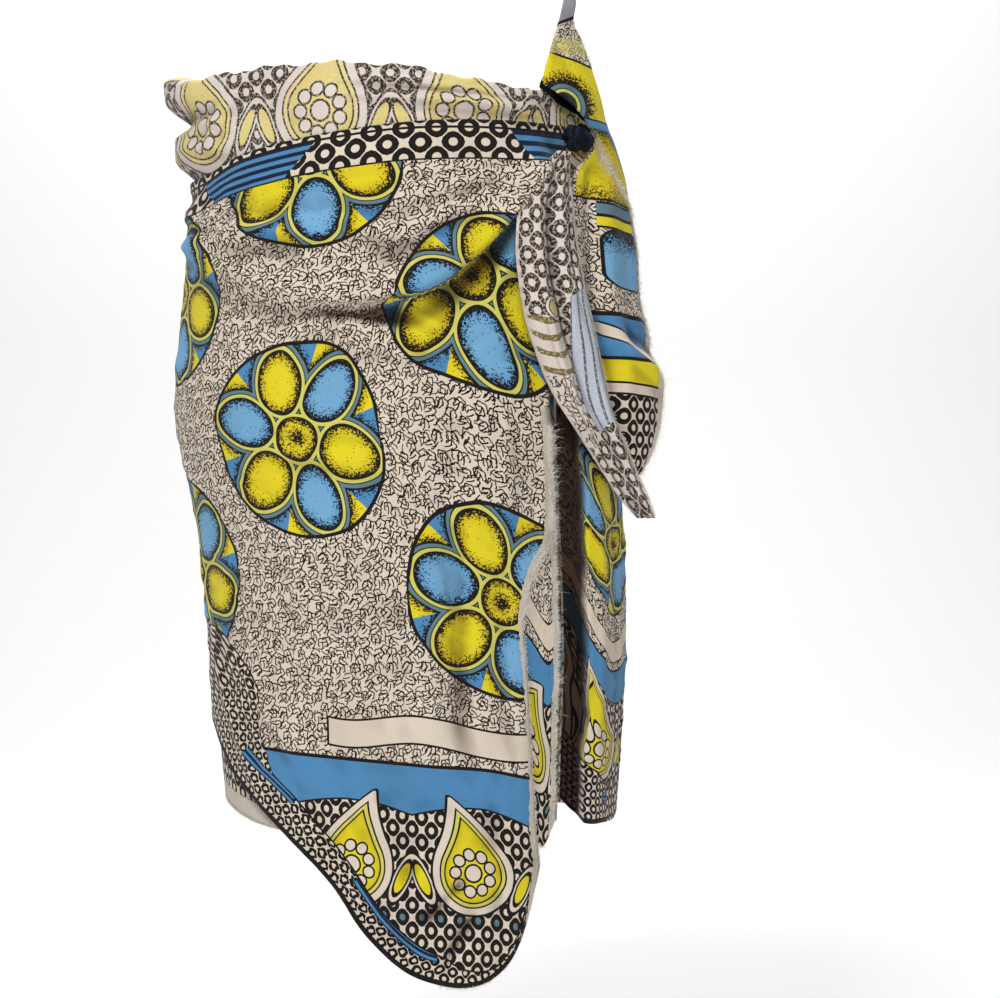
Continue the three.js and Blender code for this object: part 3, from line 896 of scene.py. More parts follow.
def wide_tail_print(tones):
    """Zones of the print down the wide tail: across is 0 to 100 from left to right."""
    x, along = map_pair("Cloth")
    across, down = map_pair("Edges")
    dots = stipple(x, along)
    scribbled = scribble(tones, x, along)
    ground, _ = lattice(tones, x, along, 19, 21)
    tilt = down - across * 0.06
    # from the knot: stippled yellow, and a blue-grey edge that widens towards the knot
    full = ramp(size_of(tilt - 38), 2, 34)
    yellow = shaded(tones, dots, "yellow", full * full)
    look = paint(scribbled, yellow, less(tilt, 68) * more(across, 3))
    look = bands(look, tones, tilt, [(66.5, 68.5, "dark")])
    side = across - 42 - ramp(down, 0, 46) * 48
    look = paint(look, tones["dark"], between(side, -4, 1) * less(tilt, 68))
    look = paint(look, tones["blue"], more(side, 0) * less(tilt, 62))
    frayed = size_of(down - 14 - across * 0.62 + (noise(x, along, 4) - 0.5) * 14)
    look = paint(look, rgb(214, 196, 140), less(frayed, 7) * more(across, 5))
    # two bars and a stippled blue oblong beside the scribble
    bars = [(69, 82, "dark"), (71, 80, "teal"), (81, 93, "dark"), (83, 91, "yellow")]
    look = bands(look, tones, tilt, bars, between(across, 24, 76))
    block_x, block_y = size_of(across - 62) * 0.62, size_of(tilt - 119)
    corner = length(either(block_x - 10, 0), either(block_y - 14, 0)) - 11
    blue = shaded(tones, dots, "blue", ramp(tilt, 118, 97))
    look = rings(look, tones, corner, [(1.8, "dark")])
    look = paint(look, blue, less(corner, 0))
    # below: a blue band, a stippled yellow one, a plain line and the lattice
    lower = [
        (168, 172, "dark"), (172, 208, "blue"), (208, 211, "dark"), (211, 230, "yellow"),
        (230, 232, "dark"), (232, 240, "cream"), (240, 242, "dark"),
    ]
    look = bands(look, tones, tilt, lower)
    look = paint(look, ground, more(tilt, 242))
    curl = size_of(across - 8 - (down - 180) * 2.0)
    look = paint(look, tones["dark"], less(curl, 15) * between(down, 178, 216))
    look = paint(look, tones["cream"], less(curl, 11) * between(down, 179, 215))
    hem = 96 - ramp(down, 170, 220) * 8 + (noise(x, along, 5) - 0.5) * 9
    return paint(look, tones["cream"], more(across, hem) * more(down, 86))


def narrow_tail_print(tones):
    """The reverse of the border down the narrow tail, with three bands of pale blue."""
    x, along = map_pair("Cloth")
    across, down = map_pair("Edges")
    look, _ = lattice(tones, x, along, 19, 24)
    # left: a bead, then olive bars on cream, then scribble
    left = less(across, 42 - ramp(down, 190, 250) * 16)
    bent = down + (across - 24) * (across - 24) * 0.012 + (noise(x, along, 16) - 0.5) * 5
    olive = between(part_of(bent / 15), 0.0, 0.34)
    cream = paint(tones["cream"], rgb(120, 104, 52), olive)
    look = paint(look, cream, between(down, 148, 200) * left)
    bead = length(x + 11, along - 142)
    look = rings(look, tones, bead, [(12, "dark"), (10, "cream"), (8, "dark"), (6.5, "yellow")])
    scribbled = scribble(tones, x, along)
    look = paint(look, scribbled, between(down, 200, 262) * left)
    # right: pale blue bands with dark lines
    drift = ramp(down, 120, 232)
    start = 66 - drift * 28
    band = (across - start) / (32 + drift * 14)
    inside = between(band, 0, 1) * between(down + across * 0.3, 150, 262)
    stripes = paint(tones["navy"], tones["blue"], between(part_of(band * 3.0), 0.13, 0.87))
    look = paint(look, stripes, inside)
    hem = either(less(across, 4), more(across, 95))
    return paint(look, tones["cream"], hem * 0.8)


WORN_TINT = (0.5, 0.36, 0.26)
PAINTED_SHADE_TINT = (0.13, 0.09, 0.07)  # painted shade, which darkens the hollows of the folds


def start_material(name):
    """A new material and its shader, with its nodes ready for the functions above."""
    global TREE
    material = bpy.data.materials.new(name)
    material.use_nodes = True
    TREE = material.node_tree
    return material, TREE.nodes["Principled BSDF"]


def cover(shader, colour, relief, strength, rough, gloss):
    """Gives a shader its colour and a matt surface with a bump of up to a millimetre."""
    bump = TREE.nodes.new("ShaderNodeBump")
    bump.inputs["Strength"].default_value = strength
    bump.inputs["Distance"].default_value = MM
    TREE.links.new(relief.socket, bump.inputs["Height"])
    TREE.links.new(bump.outputs[0], shader.inputs["Normal"])
    TREE.links.new(colour, shader.inputs["Base Color"])
    shader.inputs["Roughness"].default_value = rough
    shader.inputs["Specular IOR Level"].default_value = gloss


def cotton(name, make_print, tones, mottled=False):
    """Printed plain-weave cotton: matt, with a fine weave, soft rumples, light wear and painted
    shade in the hollows of its folds.
    """
    material, shader = start_material(name)
    x, height = map_pair("Cloth")
    depth, _ = map_pair("Shade")
    colour = make_print(tones)
    if mottled:
        specks = ramp(noise(x, height, 2.2, 3.0), 0.5, 0.62) * 0.5
        colour = paint(colour, tones["cream"], specks)
    worn = ramp(noise(x, height, 60), 0.35, 0.75) * 0.16
    colour = paint(colour, WORN_TINT, worn, "MULTIPLY")
    # painted shade: darker where the Shade map puts a point in a hollow of the folds or in the
    # valley
    colour = paint(colour, PAINTED_SHADE_TINT, depth * MM, "MULTIPLY")
    thread = sine_of(x * 9.0) * sine_of(height * 9.0)
    rumple = noise(x, height, 24, 3.0)
    crumple = noise(x * 1.6, height, 7, 2.0)
    cover(shader, colour, thread * 0.05 + rumple * 2.6 + crumple * 0.6, 0.8, 0.86, 0.25)
    shader.inputs["Sheen Weight"].default_value = 0.1
    shader.inputs["Sheen Roughness"].default_value = 0.5
    return material


def plain_cloth(name, dark, light, spot):
    """Matt cotton in two tones, for the knot and for loose fibres."""
    material, shader = start_material(name)
    x, height = map_pair("Cloth")
    spots = ramp(noise(x, height * 0.25, spot, 2.0), 0.52, 0.66)
    cover(shader, paint(dark, light, spots), noise(x, height, spot / 3, 3.0), 0.5, 0.9, 0.2)
    return material


# ---- the stretches of cloth ----

BAND_DEPTH = 92
BAND_LEAF = 56
BAND_ROLL = 6


def ridge(middle, width, value):
    return np.exp(-(((value - middle) / width) ** 2))


def band_lift(turn, level):
    upper = 29 * smooth(-34, -6, level)
    panel_top = read(TOP_OF_PANEL, turn)
    lower = 20 * (1 - smooth(-42, -28, level)) * smooth(panel_top + 1, panel_top + 24, level)
    along_step = smooth(-4, 14, turn) * (1 - smooth(38, 48, turn))
    step = 3 * along_step * (1 - smooth(-26, -17, level)) * smooth(-38, -28, level)
    open_cloth = smooth(panel_top + 2, panel_top + 14, level)
    rumple = 0.8 * np.sin(turn / 7 + level / 11) + 1.5 * creases_at(BAND_CREASES, turn, level)
    loose = ridge(LOOSE_TURN, LOOSE_WIDTH, turn)
    return BAND_LIFT + loose * (upper + lower) + step + open_cloth * rumple


def waist_fold(name, start, end, columns, materials):
    """A hairpin: down the outer leaf to its edge, from the roll over the top."""
    outer_leaf, roll_end = 0.53, 0.83
    across, down = grid(columns, 96)
    turn = mix(start, end, across)
    wavy = 1.3 * np.sin(turn * 0.31) + 0.9 * np.sin(turn * 0.83 + 1.0)
    roll_start = read(TOP_OF_BAND, turn) - BAND_ROLL + wavy * smooth(0, 20, np.abs(turn + 90))
    share = 1 - down
    level_out = mix(-BAND_DEPTH, roll_start, np.clip(share / outer_leaf, 0, 1))
    arc = np.pi * np.clip((share - outer_leaf) / (roll_end - outer_leaf), 0, 1)
    lift_roll = mix(band_lift(turn, roll_start), INNER_LIFT, (1 - np.cos(arc)) / 2)
    level_roll = roll_start + BAND_ROLL * np.sin(arc)
    below = np.clip((share - roll_end) / (1 - roll_end), 0, 1)
    level_in = mix(roll_start, -BAND_LEAF, below)
    outer = share < outer_leaf
    inner = share > roll_end
    level = np.where(outer, level_out, np.where(inner, level_in, level_roll))
    lift = np.where(outer, band_lift(turn, level_out), np.where(inner, INNER_LIFT, lift_roll))
    points = on_hips(turn, level, lift)
    step = np.linalg.norm(np.diff(points, axis=0), axis=-1)
    run = np.concatenate([np.zeros((1, columns + 1)), np.cumsum(step, axis=0)])
    height = run[-1] - run
    return shell(name, points, {"Cloth": (round_by(turn), height)}, materials)


VALLEY_DEPTH = 42


def valley(turn, level):
    """The deep groove beside the pleat, steep on both sides: 0 outside it, 1 inside."""
    edge = turn + 0.5 * np.sin(level / 27) + 0.3 * np.sin(level / 11)
    trough = smooth(43.2, 45.4, edge) * (1 - smooth(51.4, 54.0, edge))
    return trough * (1 - smooth(-330, -230, level))


def inner_front(materials):
    across, down = grid(120, 110)
    turn = mix(-100, SIDE_START - 0.1, across)
    hem = read(HEM_OF_INNER, turn)
    level = mix(-BAND_LEAF - 0.3, hem, down)
    hollow = valley(turn, level)
    points = on_hips(turn, level, INNER_LIFT)
    points[..., 1] += VALLEY_DEPTH * hollow
    x = round_by(turn)
    maps = {
        "Cloth": (x + 60 + VALLEY_DEPTH * hollow, level - hem),
        "Hem": (x, level - hem),
        "Edges": (FAR, level - hem - 13),
    }
    # the valley's trough is also given painted shade
    return shell("inner_front", points, maps, materials, hollow=hollow)


# turn, level of the print's own hem line on the front panel
PRINT_LINE = [(-115, -752), (-45, -765), (18, -780), (35, -791), (54, -795)]

# how far along the slanting hem, width of its lattice strip
HEM_STRIP = [
    (-90, 80), (20, 92), (60, 88), (87, 61), (109, 47), (125, 37), (152, 34), (190, 28),
    (238, 24), (350, 24), (380, 16), (420, 6),
]


# turn, level of the lower edge of the swag that hangs from the knot to the left side
SWAG = [
    (-115, -140), (-76, -142), (-60, -156), (-43, -174), (-28, -192), (-11, -204),
    (3, -198), (14, -180), (24, -150), (34, -114), (42, -84), (50, -64),
]
SWAG_TUCK = 26  # the cloth that is hidden behind its edge, at the most


def swag(turn, level):
    """The swag's lift: it swells towards its lower edge and is undercut there."""
    above = (level - read(SWAG, turn)) * 0.8
    strength = smooth(-88, -60, turn) * (1 - smooth(38, 46, turn))
    sharp = smooth(-40, 4, turn)
    drop = mix(20, 4.5, sharp)
    below = np.maximum(-above, 0)
    swell = np.exp(-np.maximum(above, 0) / 30) * smooth(-drop, 0, above)
    pocket = ridge(25, 9, turn) * smooth(2, 8, below) * np.exp(-below / 26)
    slope = 4 * np.exp(-below / 40) * (above < 0)
    bowl = below / 60 * np.exp(1 - below / 60)
    tall = mix(9, 13, sharp) - 4 * (above < 0)
    return strength * (swell * tall + slope - 8 * bowl - 5 * pocket)


def tucked(turn, level):
    """How much cloth the swag's edge hides, from the print above to that below."""
    above = (level - read(SWAG, turn)) * 0.8
    share = smooth(-34, 16, turn) * (1 - smooth(-4, 0, above)) * smooth(-210, -6, above)
    return SWAG_TUCK * share


def panel_lift(turn, level, top):
    """How far the front panel stands off the hips."""
    base = mix(OUTER_TOP_LIFT, OUTER_LIFT, smooth(0, 30, top - level))
    loose = 4 * ridge(LOOSE_TURN, LOOSE_WIDTH, turn) * smooth(top - 16, top - 2, level)
    flare = 9 * (1 - smooth(-790, -560, level))
    away = smooth(4, 24, top - level) * smooth(PANEL_START, PANEL_START + 6, turn)
    lift = base + loose + flare + folds_at(PANEL_FOLDS, turn, level)
    fine = 1.5 * creases_at(PANEL_CREASES, turn, level) + rumples(turn, level, 4)
    lift = lift + away * (fine + swag(turn, level))
    # it stays clear of the waist fold and of the pleat, which are under it
    over_pleat = smooth(14, 21, turn) * (1 - smooth(-262, -246, level))
    lowest = mix(2.0, 4.6, np.maximum(smooth(-116, -100, level), over_pleat))
    return np.maximum(lift, lowest)


def drawn_in(x, height, hidden):
    """The print's place on the front panel: closer together towards the knot, where the
    cloth is drawn in, and without the cloth that the swag hides."""
    knot_x, knot_height = round_by(52), 730
    near = np.exp(-np.hypot(x - knot_x, height - knot_height) / 60)
    x_print = x + (x - knot_x) * 0.9 * near + hidden * 0.8
    return x_print, height + (height - knot_height) * 0.5 * near - hidden


def hem_distances(x, level, turn):
    """How far along the slanting hem, from the far left, and how far from it."""
    hem_x, hem_level = x[-1], level[-1]
    run = np.concatenate([[0], np.cumsum(np.hypot(np.diff(hem_x), np.diff(hem_level)))])
    run -= np.interp(-86, turn[-1], run)
    reach = np.hypot(x[..., None] - hem_x, level[..., None] - hem_level)
    return run[reach.argmin(axis=-1)], reach.min(axis=-1)


def front_panel(materials):
    across, down = grid(176, 210)
    nominal = mix(PANEL_START, PANEL_END, across)
    top = read(TOP_OF_PANEL, nominal)
    level = mix(top, read(HEM_OF_PANEL, nominal), down)
    edge_turn = read(FREE_EDGE, level)
    turn = mix(PANEL_START, edge_turn, across)
    top = read(TOP_OF_PANEL, np.minimum(turn, PANEL_END))
    points = on_hips(turn, level, panel_lift(turn, level, top))
    x = round_by(turn)
    along, from_hem = hem_distances(x, level, turn)
    # the side edge is raw below the deep tuck, and most unravelled just under it
    unravelled = smooth(-450, -420, level) * (1 - smooth(-300, -288, level))
    from_side = round_by(edge_turn) - x + FAR * smooth(-292, -284, level)
    from_side = from_side - 3 * (1 - smooth(-660, -620, level)) - 2 * unravelled
    maps = {
        "Cloth": drawn_in(x, level - read(PRINT_LINE, turn), tucked(turn, level)),
        "Edges": (top - level, from_side),
        "Hem": (along, from_hem),
    }
    strip = from_hem - read(HEM_STRIP, along)
    return shell("front_panel", points, maps, materials, strip)


def edge_pleat(materials):
    across, down = grid(40, 190)
    turn = mix(PLEAT_START, PLEAT_END, across)
    hem = read(HEM_OF_PLEAT, turn)
    level = mix(PLEAT_TOP, hem, down)
    wave = 0.6 * np.sin(level / 17) * across**2 + 0.9 * np.sin(level / 7.3) * across**5
    points = on_hips(turn, level, PLEAT_LIFT + wave)
    x = round_by(turn)
    maps = {
        "Cloth": (x * 1.3 + 24, level - hem + 4 + (x - 110) * 0.5),
        "Edges": (FAR, round_by(PLEAT_END) - x + 0.5),
    }
    return shell("edge_pleat", points, maps, materials)


def back_panel(materials):
    across, down = grid(160, 160)
    turn = mix(BACK_END, PANEL_START - 0.02, across)
    hem = read(HEM_OF_BACK, turn)
    level = mix(BACK_TOP, hem, down)
    base = mix(OUTER_TOP_LIFT + 0.6, OUTER_LIFT, 1 - smooth(-130, -90, level))
    inside = smooth(BACK_END, BACK_END + 10, turn)
    inside = inside * (1 - smooth(PANEL_START - 12, PANEL_START, turn))
    creases = creases_at(BACK_CREASES, turn, level) + rumples(turn, level, 8)
    creases = creases * (1 - smooth(-112, -94, level))
    lift = base + inside * (folds_at(BACK_FOLDS, turn, level) + creases)
    points = on_hips(turn, level, np.maximum(lift, 1.6 + 3 * smooth(-110, -94, level)))
    # the print is stretched a little so that its flowers meet those of the side panel
    x = round_by(turn)
    far, near = round_by(BACK_END), round_by(PANEL_START)
    wanted = round_by(BACK_END + 360) - SIDE_SHIFT - near
    stretch = (wanted - math.ceil((wanted + near - far) / REPEAT) * REPEAT) / (far - near)
    # near the front panel it slopes on down, and the hem's lattice strip narrows away
    print_line = mix(hem, read(PRINT_LINE, PANEL_START), smooth(-200, PANEL_START, turn))
    maps = {
        "Cloth": (near + (x - near) * stretch, level - print_line),
        "Edges": (BACK_TOP - level, FAR),
        "Hem": (x, level - hem),
    }
    strip = level - hem - 82 * smooth(-176, PANEL_START, turn) + 2
    return shell("back_panel", points, maps, materials, strip)


def side_panel(materials):
    across, down = grid(90, 180)
    turn = mix(SIDE_START, BACK_END + 360 - 0.02, across)
    top = read(TOP_OF_SIDE, turn)
    hem = read(HEM_OF_SIDE, turn)
    level = mix(top, hem, down)
    out = mix(PLEAT_LIFT, OUTER_LIFT, smooth(SIDE_START, 66, turn))
    roll = 5 * ridge(58, 8, turn) * (1 - smooth(-330, -190, level))
    inside = smooth(0.02, 0.1, across) * (1 - smooth(0.9, 1.0, across)) * smooth(0.0, 0.05, down)
    creases = creases_at(SIDE_CREASES, turn, level) + rumples(turn, level, 15)
    hollow = valley(turn, level)
    points = on_hips(turn, level, out + roll + inside * creases)
    points[..., 1] += VALLEY_DEPTH * hollow
    x = round_by(turn)
    # the print sweeps up beside the valley, and is closer together at the front
    valley_x = 208
    bow = np.clip((valley_x - x) / 36, 0, 1.4) ** 2 * 30
    scale = mix(1.28, 1.0, smooth(70, 106, turn))
    corner = level - hem - np.clip(215 - x, 0, 60) * 0.6
    x_print = x - SIDE_SHIFT - VALLEY_DEPTH * hollow
    maps = {
        "Cloth": (x_print, (level - hem - bow * smooth(60, 120, level - hem)) * scale),
        "Hem": (x * 1.2, level - hem),
    }
    strip = np.where(x < valley_x, corner - 26, FAR)
    # the valley's trough is also given painted shade
    return shell("side_panel", points, maps, materials, strip, hollow)


def tail(name, table, columns, rows, pleats, pleat_depth, materials, creases):
    """A strip between two edges, with pleats that die out at its ends."""
    low, high = table[0][0], table[-1][0]
    across, down = grid(columns, rows)
    level = mix(high, low, down)
    left = np.stack([read(table, level, 1), read(table, level, 2), level], -1)
    right = np.stack([read(table, level, 3), read(table, level, 4), level], -1)
    way = right - left
    outward = np.stack([way[..., 1], -way[..., 0], 0 * level], -1)
    outward /= np.linalg.norm(outward, axis=-1, keepdims=True)
    fade = smooth(0, 0.2, down) * (1 - smooth(0.7, 1, down))
    pleat = (0.5 - 0.5 * np.cos(2 * np.pi * pleats * across)) * pleat_depth * fade
    out = read(table, level, 5) * np.sin(np.pi * across) + pleat + creases(across, down)
    points = left + way * across[..., None] + outward * out[..., None]
    wide = np.linalg.norm(way, axis=-1)
    down_by = high - level
    maps = {"Cloth": ((across - 0.5) * (wide + 12), down_by), "Edges": (across * 100, down_by)}
    return shell(name, points, maps, materials)


def narrow_tail(materials):
    def creases(across, down):
        body = smooth(0.04, 0.2, down)
        groove = -6.0 * ridge(0.5, 0.055, across) * body * (1 - smooth(0.5, 0.8, down))
        groove = groove - 3.0 * ridge(0.8, 0.04, across) * body * (1 - smooth(0.3, 0.6, down))
        groove = groove - 3.0 * ridge(0.22, 0.04, across) * smooth(0.3, 0.5, down)
        twist = 1.4 * np.sin(across * 19 + down * 7) * body
        return groove + twist + 0.5 * np.sin(down * 38 + across * 9)

    return tail("narrow_tail", NARROW_TAIL, 72, 180, 2, 7, materials, creases)


def wide_tail(materials):
    def creases(across, down):
        body = smooth(0.05, 0.2, down)
        curl = 9 * ridge(0.66 + 0.12 * (across - 0.4), 0.03, down) * smooth(0.05, 0.35, across)
        curl = curl * (1 - 0.7 * smooth(0.7, 0.95, across))
        hollow = -8 * ridge(0.585 + 0.1 * (across - 0.4), 0.035, down) * smooth(0.3, 0.6, across)
        gathers = 1.3 * np.sin(across * 17 + down * 3) * body * (1 - smooth(0.5, 0.9, down))
        fold = 3.0 * ridge(0.3, 0.1, across) * body - 3.0 * ridge(0.16, 0.06, across) * body
        return curl + hollow + gathers + fold

    return tail("wide_tail", WIDE_TAIL, 72, 180, 1, 3, materials, creases)


def up_tail(materials):
    low, high = UP_TAIL[0][0], UP_TAIL[-1][0]
    across, down = grid(96, 120)
    level = mix(high, low, down)
    arc = np.pi * across
    left = mix(read(UP_TAIL, level, 1), read(UP_TAIL, level, 2), smooth(0.35, 0.65, across))
    out = np.sin(arc) ** 0.7
    x = mix(left, read(UP_TAIL, level, 3), out)
    y = mix(read(UP_TAIL, level, 4), read(UP_TAIL, level, 5), out)
    y = y - read(UP_TAIL, level, 6) / 2 * np.cos(arc)
    y = y + 1.1 * np.sin(x / 4 + level / 9) * smooth(0.02, 0.2, down)
    points = np.stack([x, y, level], -1)
    return shell("up_tail", points, {"Cloth": (x - 160, level)}, materials)


def knot(material):
    """The tight crossing of the two corners: one gathered strip wound over the other."""
    rows, columns = 80, 160
    ring = np.linspace(0.02, np.pi - 0.02, rows)[:, None]
    side = np.linspace(0, 2 * np.pi, columns + 1)[None, :]
    across = np.sin(ring) * np.cos(side)
    towards = np.sin(ring) * np.sin(side)
    up = np.cos(ring) + 0 * side
    scale = 0 * across
    for tilt, reach in ((0.5, 1.0), (-1.0, 0.9)):
        off = across * math.sin(tilt) + up * math.cos(tilt) + 0.12 * towards
        strip = reach - 0.3 * smooth(0.34, 0.7, np.abs(off)) - 0.045 * np.abs(np.sin(8 * off))
        scale = np.maximum(scale, strip)
    out = np.stack([across, towards, up], -1) * scale[..., None]
    points = (np.array(KNOT_CENTRE) + np.array(KNOT_HALF) * out).reshape(-1, 3)
    faces = faces_of(np.arange(across.size).reshape(across.shape))
    flat = np.stack(np.broadcast_arrays(side, ring), -1).reshape(-1, 2) * KNOT_HALF[0]
    return settle(show("knot_cloth", points, faces, {"Cloth": flat}, [material]), "knot")


# ---- loose fibres along the raw edges ----


def fibres(name, edge, outward, count, reach, inset, seed, material):
    """Bent, tapering threads that stand out from an edge, their roots up to inset behind
    it. edge and outward are rows of points and directions in millimetres."""
    dice = np.random.default_rng(seed)
    place = dice.uniform(0, len(edge) - 1.001, count)
    low = place.astype(int)
    share = (place - low)[:, None]
    root = edge[low] * (1 - share) + edge[low + 1] * share
    root = root - outward[low] * (dice.uniform(0, 1, (count, 1)) ** 2 * inset)
    way = outward[low] + dice.normal(0, 0.55, (count, 3)) + [0, -0.25, 0]
    way /= np.linalg.norm(way, axis=1, keepdims=True)
    bend = dice.normal(0, 0.45, (count, 3))
    long = (reach * dice.uniform(0.25, 1.0, count) ** 1.4)[:, None]
    aside = np.cross(way, dice.normal(0, 1, (count, 3)))
    aside /= np.linalg.norm(aside, axis=1, keepdims=True)
    other = np.cross(way, aside)
    sides = [aside, -0.5 * aside + 0.87 * other, -0.5 * aside - 0.87 * other]
    points = []
    for step, thick in ((-0.15, 0.2), (0.35, 0.17), (0.7, 0.13)):
        middle = root + way * long * step + bend * long * step * step
        points += [middle + side * thick for side in sides]
    points.append(root + way * long + bend * long)
    points = np.stack(points, 1).reshape(-1, 3)
    faces = []
    for start in (0, 3):
        for k in range(3):
            a, b = start + k, start + (k + 1) % 3
            faces += [(a, b, b + 3), (a, b + 3, a + 3)]
    faces += [(6, 7, 9), (7, 8, 9), (8, 6, 9), (0, 2, 1)]
    tris = (np.array(faces)[None] + np.arange(count)[:, None, None] * 10).reshape(-1, 3)
    flat = points[:, [0, 2]] + points[:, [1, 1]]
    piece = show(name, points, tris, {"Cloth": flat}, [material], flat=True)
    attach(piece, "root")
    return piece


def edge_of(points, low, high, column=-1, inner=-4):
    """A column of a grid of points, between two shares of its height, and its way out."""
    last = len(points) - 1
    rows = slice(int(low * last), int(high * last) + 1)
    way = points[rows, column] - points[rows, inner]
    return points[rows, column], way / np.linalg.norm(way, axis=1, keepdims=True)


def right_edge(name, low, high):
    return edge_of(GRIDS[name], low, high)


def bottom_edge(name, low, high):
    return edge_of(GRIDS[name].swapaxes(0, 1), low, high)


def right_fold(name, low, high):
    """Down the middle column, which is the fold on the right of the upright tail."""
    return edge_of(GRIDS[name], low, high, GRIDS[name].shape[1] // 2, 2)


def slanting_row(name):
    """A row of points that slants down over a stretch, where a raw edge lies on it."""
    points = GRIDS[name]
    rows = np.linspace(0.07, 0.25, 40) * (len(points) - 1)
    columns = np.linspace(0.1, 0.96, 40) * (points.shape[1] - 1)
    row, column = rows.astype(int), columns.astype(int)
    down = points[row + 4, column] - points[row, column]
    right = points[row, np.maximum(column - 2, 0)] - points[row, column]
    normal = -np.cross(right, down)
    way = down / np.linalg.norm(down, axis=1, keepdims=True)
    way = way - 0.5 * normal / np.linalg.norm(normal, axis=1, keepdims=True)
    return points[row, column], way


def all_fibres(material):
    pleat, free, wide = "edge_pleat", "front_panel", "wide_tail"
    tufts = [
        ("fray_free_edge", free, right_edge(free, 0.41, 0.66), 3400, 9.0, 6),
        ("fray_free_edge_low", free, right_edge(free, 0.64, 1.0), 1100, 4.0, 2),
        ("fray_point", free, bottom_edge(free, 0.84, 1.0), 500, 4.0, 0),
        ("fray_pleat", pleat, right_edge(pleat, 0.3, 1.0), 2200, 6.0, 2),
        ("fray_pleat_hem", pleat, bottom_edge(pleat, 0.3, 1.0), 260, 5.0, 0),
        ("fray_wide_tail", wide, right_edge(wide, 0.2, 1.0), 1900, 6.0, 3),
        ("fray_across_tail", wide, slanting_row(wide), 900, 8.0, 4),
        ("fray_up_tail", "up_tail", right_fold("up_tail", 0.24, 0.55), 260, 4.0, 0),
        ("fray_narrow_tail", "narrow_tail", right_edge("narrow_tail", 0.6, 1.0), 260, 3.0, 0),
        ("fray_inner_hem", "inner_front", bottom_edge("inner_front", 0.0, 0.4), 300, 4.0, 0),
    ]
    made = {}
    for seed, (name, stretch, (edge, way), count, reach, inset) in enumerate(tufts):
        piece = fibres(name, edge, way, count, reach, inset, seed + 5, material)
        made.setdefault(stretch, []).append(piece)
    return made


# ---- camera, floor and light ----

EYE_BACK = 1.8  # how far the camera stands in front of the middle
PHOTO_WIDE = 0.93  # what the photo's width shows at the depth of the sides


def camera():
    data = bpy.data.cameras.new("camera")
    data.sensor_width = 36
    data.lens = data.sensor_width * EYE_BACK / PHOTO_WIDE
    eye = bpy.data.objects.new("camera", data)
    eye.location = (0.098, -EYE_BACK, -0.374)
    eye.rotation_euler = (math.radians(90), 0, 0)
    bpy.context.scene.collection.objects.link(eye)
    bpy.context.scene.camera = eye


def plain_floor():
    """A pale floor that curves up into a wall."""
    level, half_wide, front, back, bend, top = -1.05, 14.0, -14.0, 3.2, 1.2, 5.0
    profile = [(front, level)]
    for angle in np.radians(np.linspace(0, 90, 13)):
        profile.append((back + bend * math.sin(angle), level + bend * (1 - math.cos(angle))))
    profile.append((back + bend, top))
    points = np.array([(side, y, z) for y, z in profile for side in (-half_wide, half_wide)])
    faces = np.array([(2 * i, 2 * i + 1, 2 * i + 3, 2 * i + 2) for i in range(len(profile) - 1)])
    material, shader = start_material("floor")
    shader.inputs["Base Color"].default_value = (0.9, 0.9, 0.9, 1)
    shader.inputs["Roughness"].default_value = 0.9
    show("floor", points / MM, faces, {}, [material])


def lamp(name, place, aim, size, power):
    data = bpy.data.lights.new(name, "AREA")
    data.size = size
    data.energy = power
    light = bpy.data.objects.new(name, data)
    light.location = place
    way = [a - b for a, b in zip(aim, place)]
    light.rotation_euler = Vector(way).to_track_quat("-Z", "Y").to_euler()
    bpy.context.scene.collection.objects.link(light)


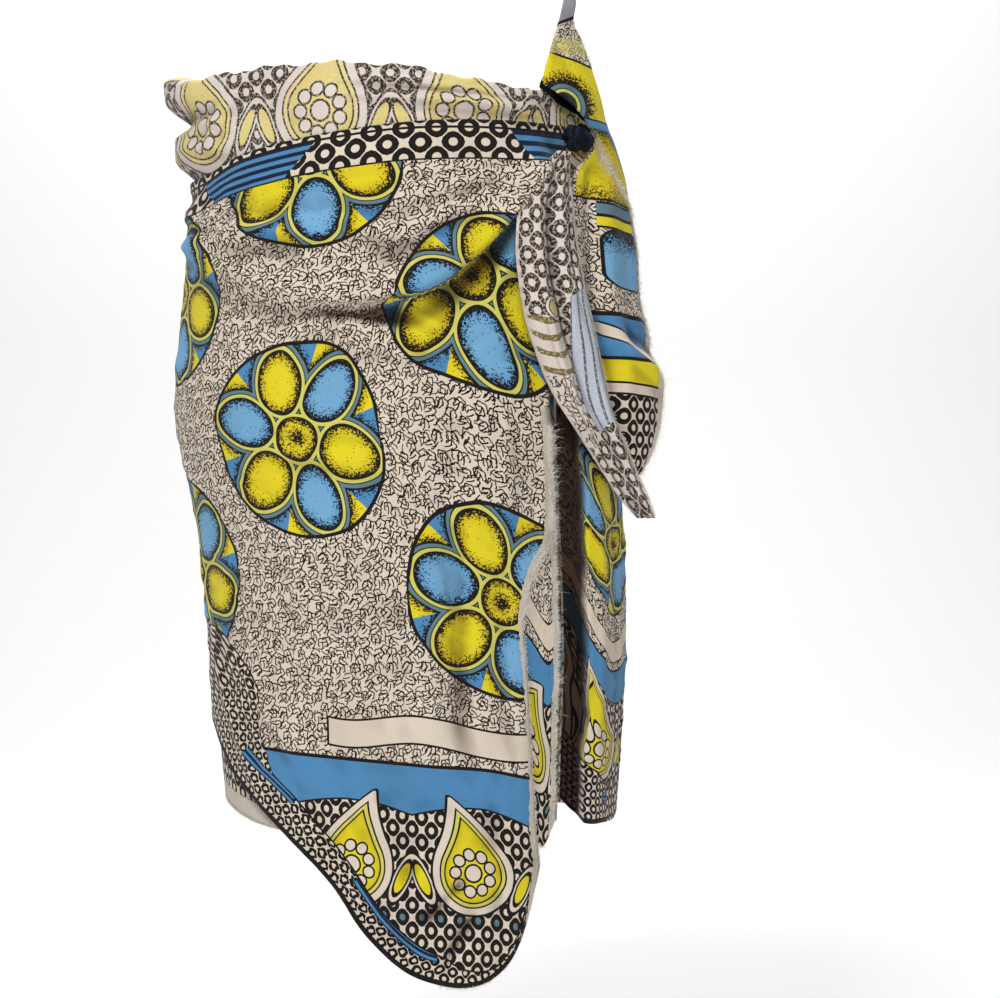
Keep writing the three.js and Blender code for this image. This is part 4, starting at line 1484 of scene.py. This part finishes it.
def studio():
    scene = bpy.context.scene
    world = bpy.data.worlds.new("world")
    scene.world = world
    world.use_nodes = True
    world.node_tree.nodes["Background"].inputs[0].default_value = (1, 1, 1, 1)
    world.node_tree.nodes["Background"].inputs[1].default_value = 0.1
    centre = (0.02, 0.0, -0.35)
    lamp("key", (-0.7, -1.8, 1.7), centre, 0.5, 42)
    lamp("flash", (0.25, -2.4, 0.1), centre, 0.4, 16)
    lamp("wall", (0.0, 1.4, 3.6), (0.0, 4.4, -0.6), 3.0, 210)
    scene.view_settings.view_transform = "Standard"


# ---- the garment ----


def main():
    camera()
    front = cotton("print_front", whole_print, FRONT)
    reverse = cotton("print_reverse", whole_print, REVERSE, mottled=True)
    border = cotton("border_reverse", folded_print, REVERSE, mottled=True)
    border_front = cotton("border_front", folded_print, FRONT)
    up_front = cotton("up_tail_front", up_tail_print, FRONT)
    wide_front = cotton("wide_tail_front", wide_tail_print, FRONT)
    wide_reverse = cotton("wide_tail_reverse", wide_tail_print, REVERSE, mottled=True)
    narrow = cotton("narrow_tail_reverse", narrow_tail_print, REVERSE, mottled=True)
    # near-black: partly the knot's dark print, partly painted shade; also painted shade inside the
    # upright tail's loop
    knot_dark_and_shade = plain_cloth("knot_cloth", rgb(12, 12, 16), rgb(26, 42, 68), 4)
    fluff = plain_cloth("loose_fibres", rgb(240, 236, 228), rgb(222, 214, 198), 9)
    out = [front, reverse]
    folded = [border, border_front]
    to_knot = KNOT_TURN - 359.8
    # each piece, and the width, drop and area of the cut that it shows, in metres
    cuts = [
        (waist_fold("waist_fold_front", BAND_START, KNOT_TURN, 190, folded), 0.47, 0.16, 0.065),
        (waist_fold("waist_fold_back", to_knot, BAND_START - 0.02, 200, folded), 0.67, 0.16, 0.095),
        (inner_front(out), 0.44, 0.61, 0.257),
        (front_panel(out), 0.52, 0.75, 0.288),
        (edge_pleat(out), 0.07, 0.41, 0.025),
        (back_panel(out), 0.44, 0.585, 0.248),
        (side_panel(out), 0.175, 0.58, 0.0985),
        # the up tail's inside is in the near-black cloth, painted shade for the shadow inside the
        # loop
        (up_tail([up_front, knot_dark_and_shade]), 0.09, 0.13, 0.0088),
        (wide_tail([wide_front, wide_reverse]), 0.09, 0.31, 0.0262),
        (narrow_tail([narrow, wide_front]), 0.075, 0.34, 0.0197),
    ]
    fray = all_fibres(fluff)
    knot(knot_dark_and_shade)
    plain_floor()
    studio()


main()
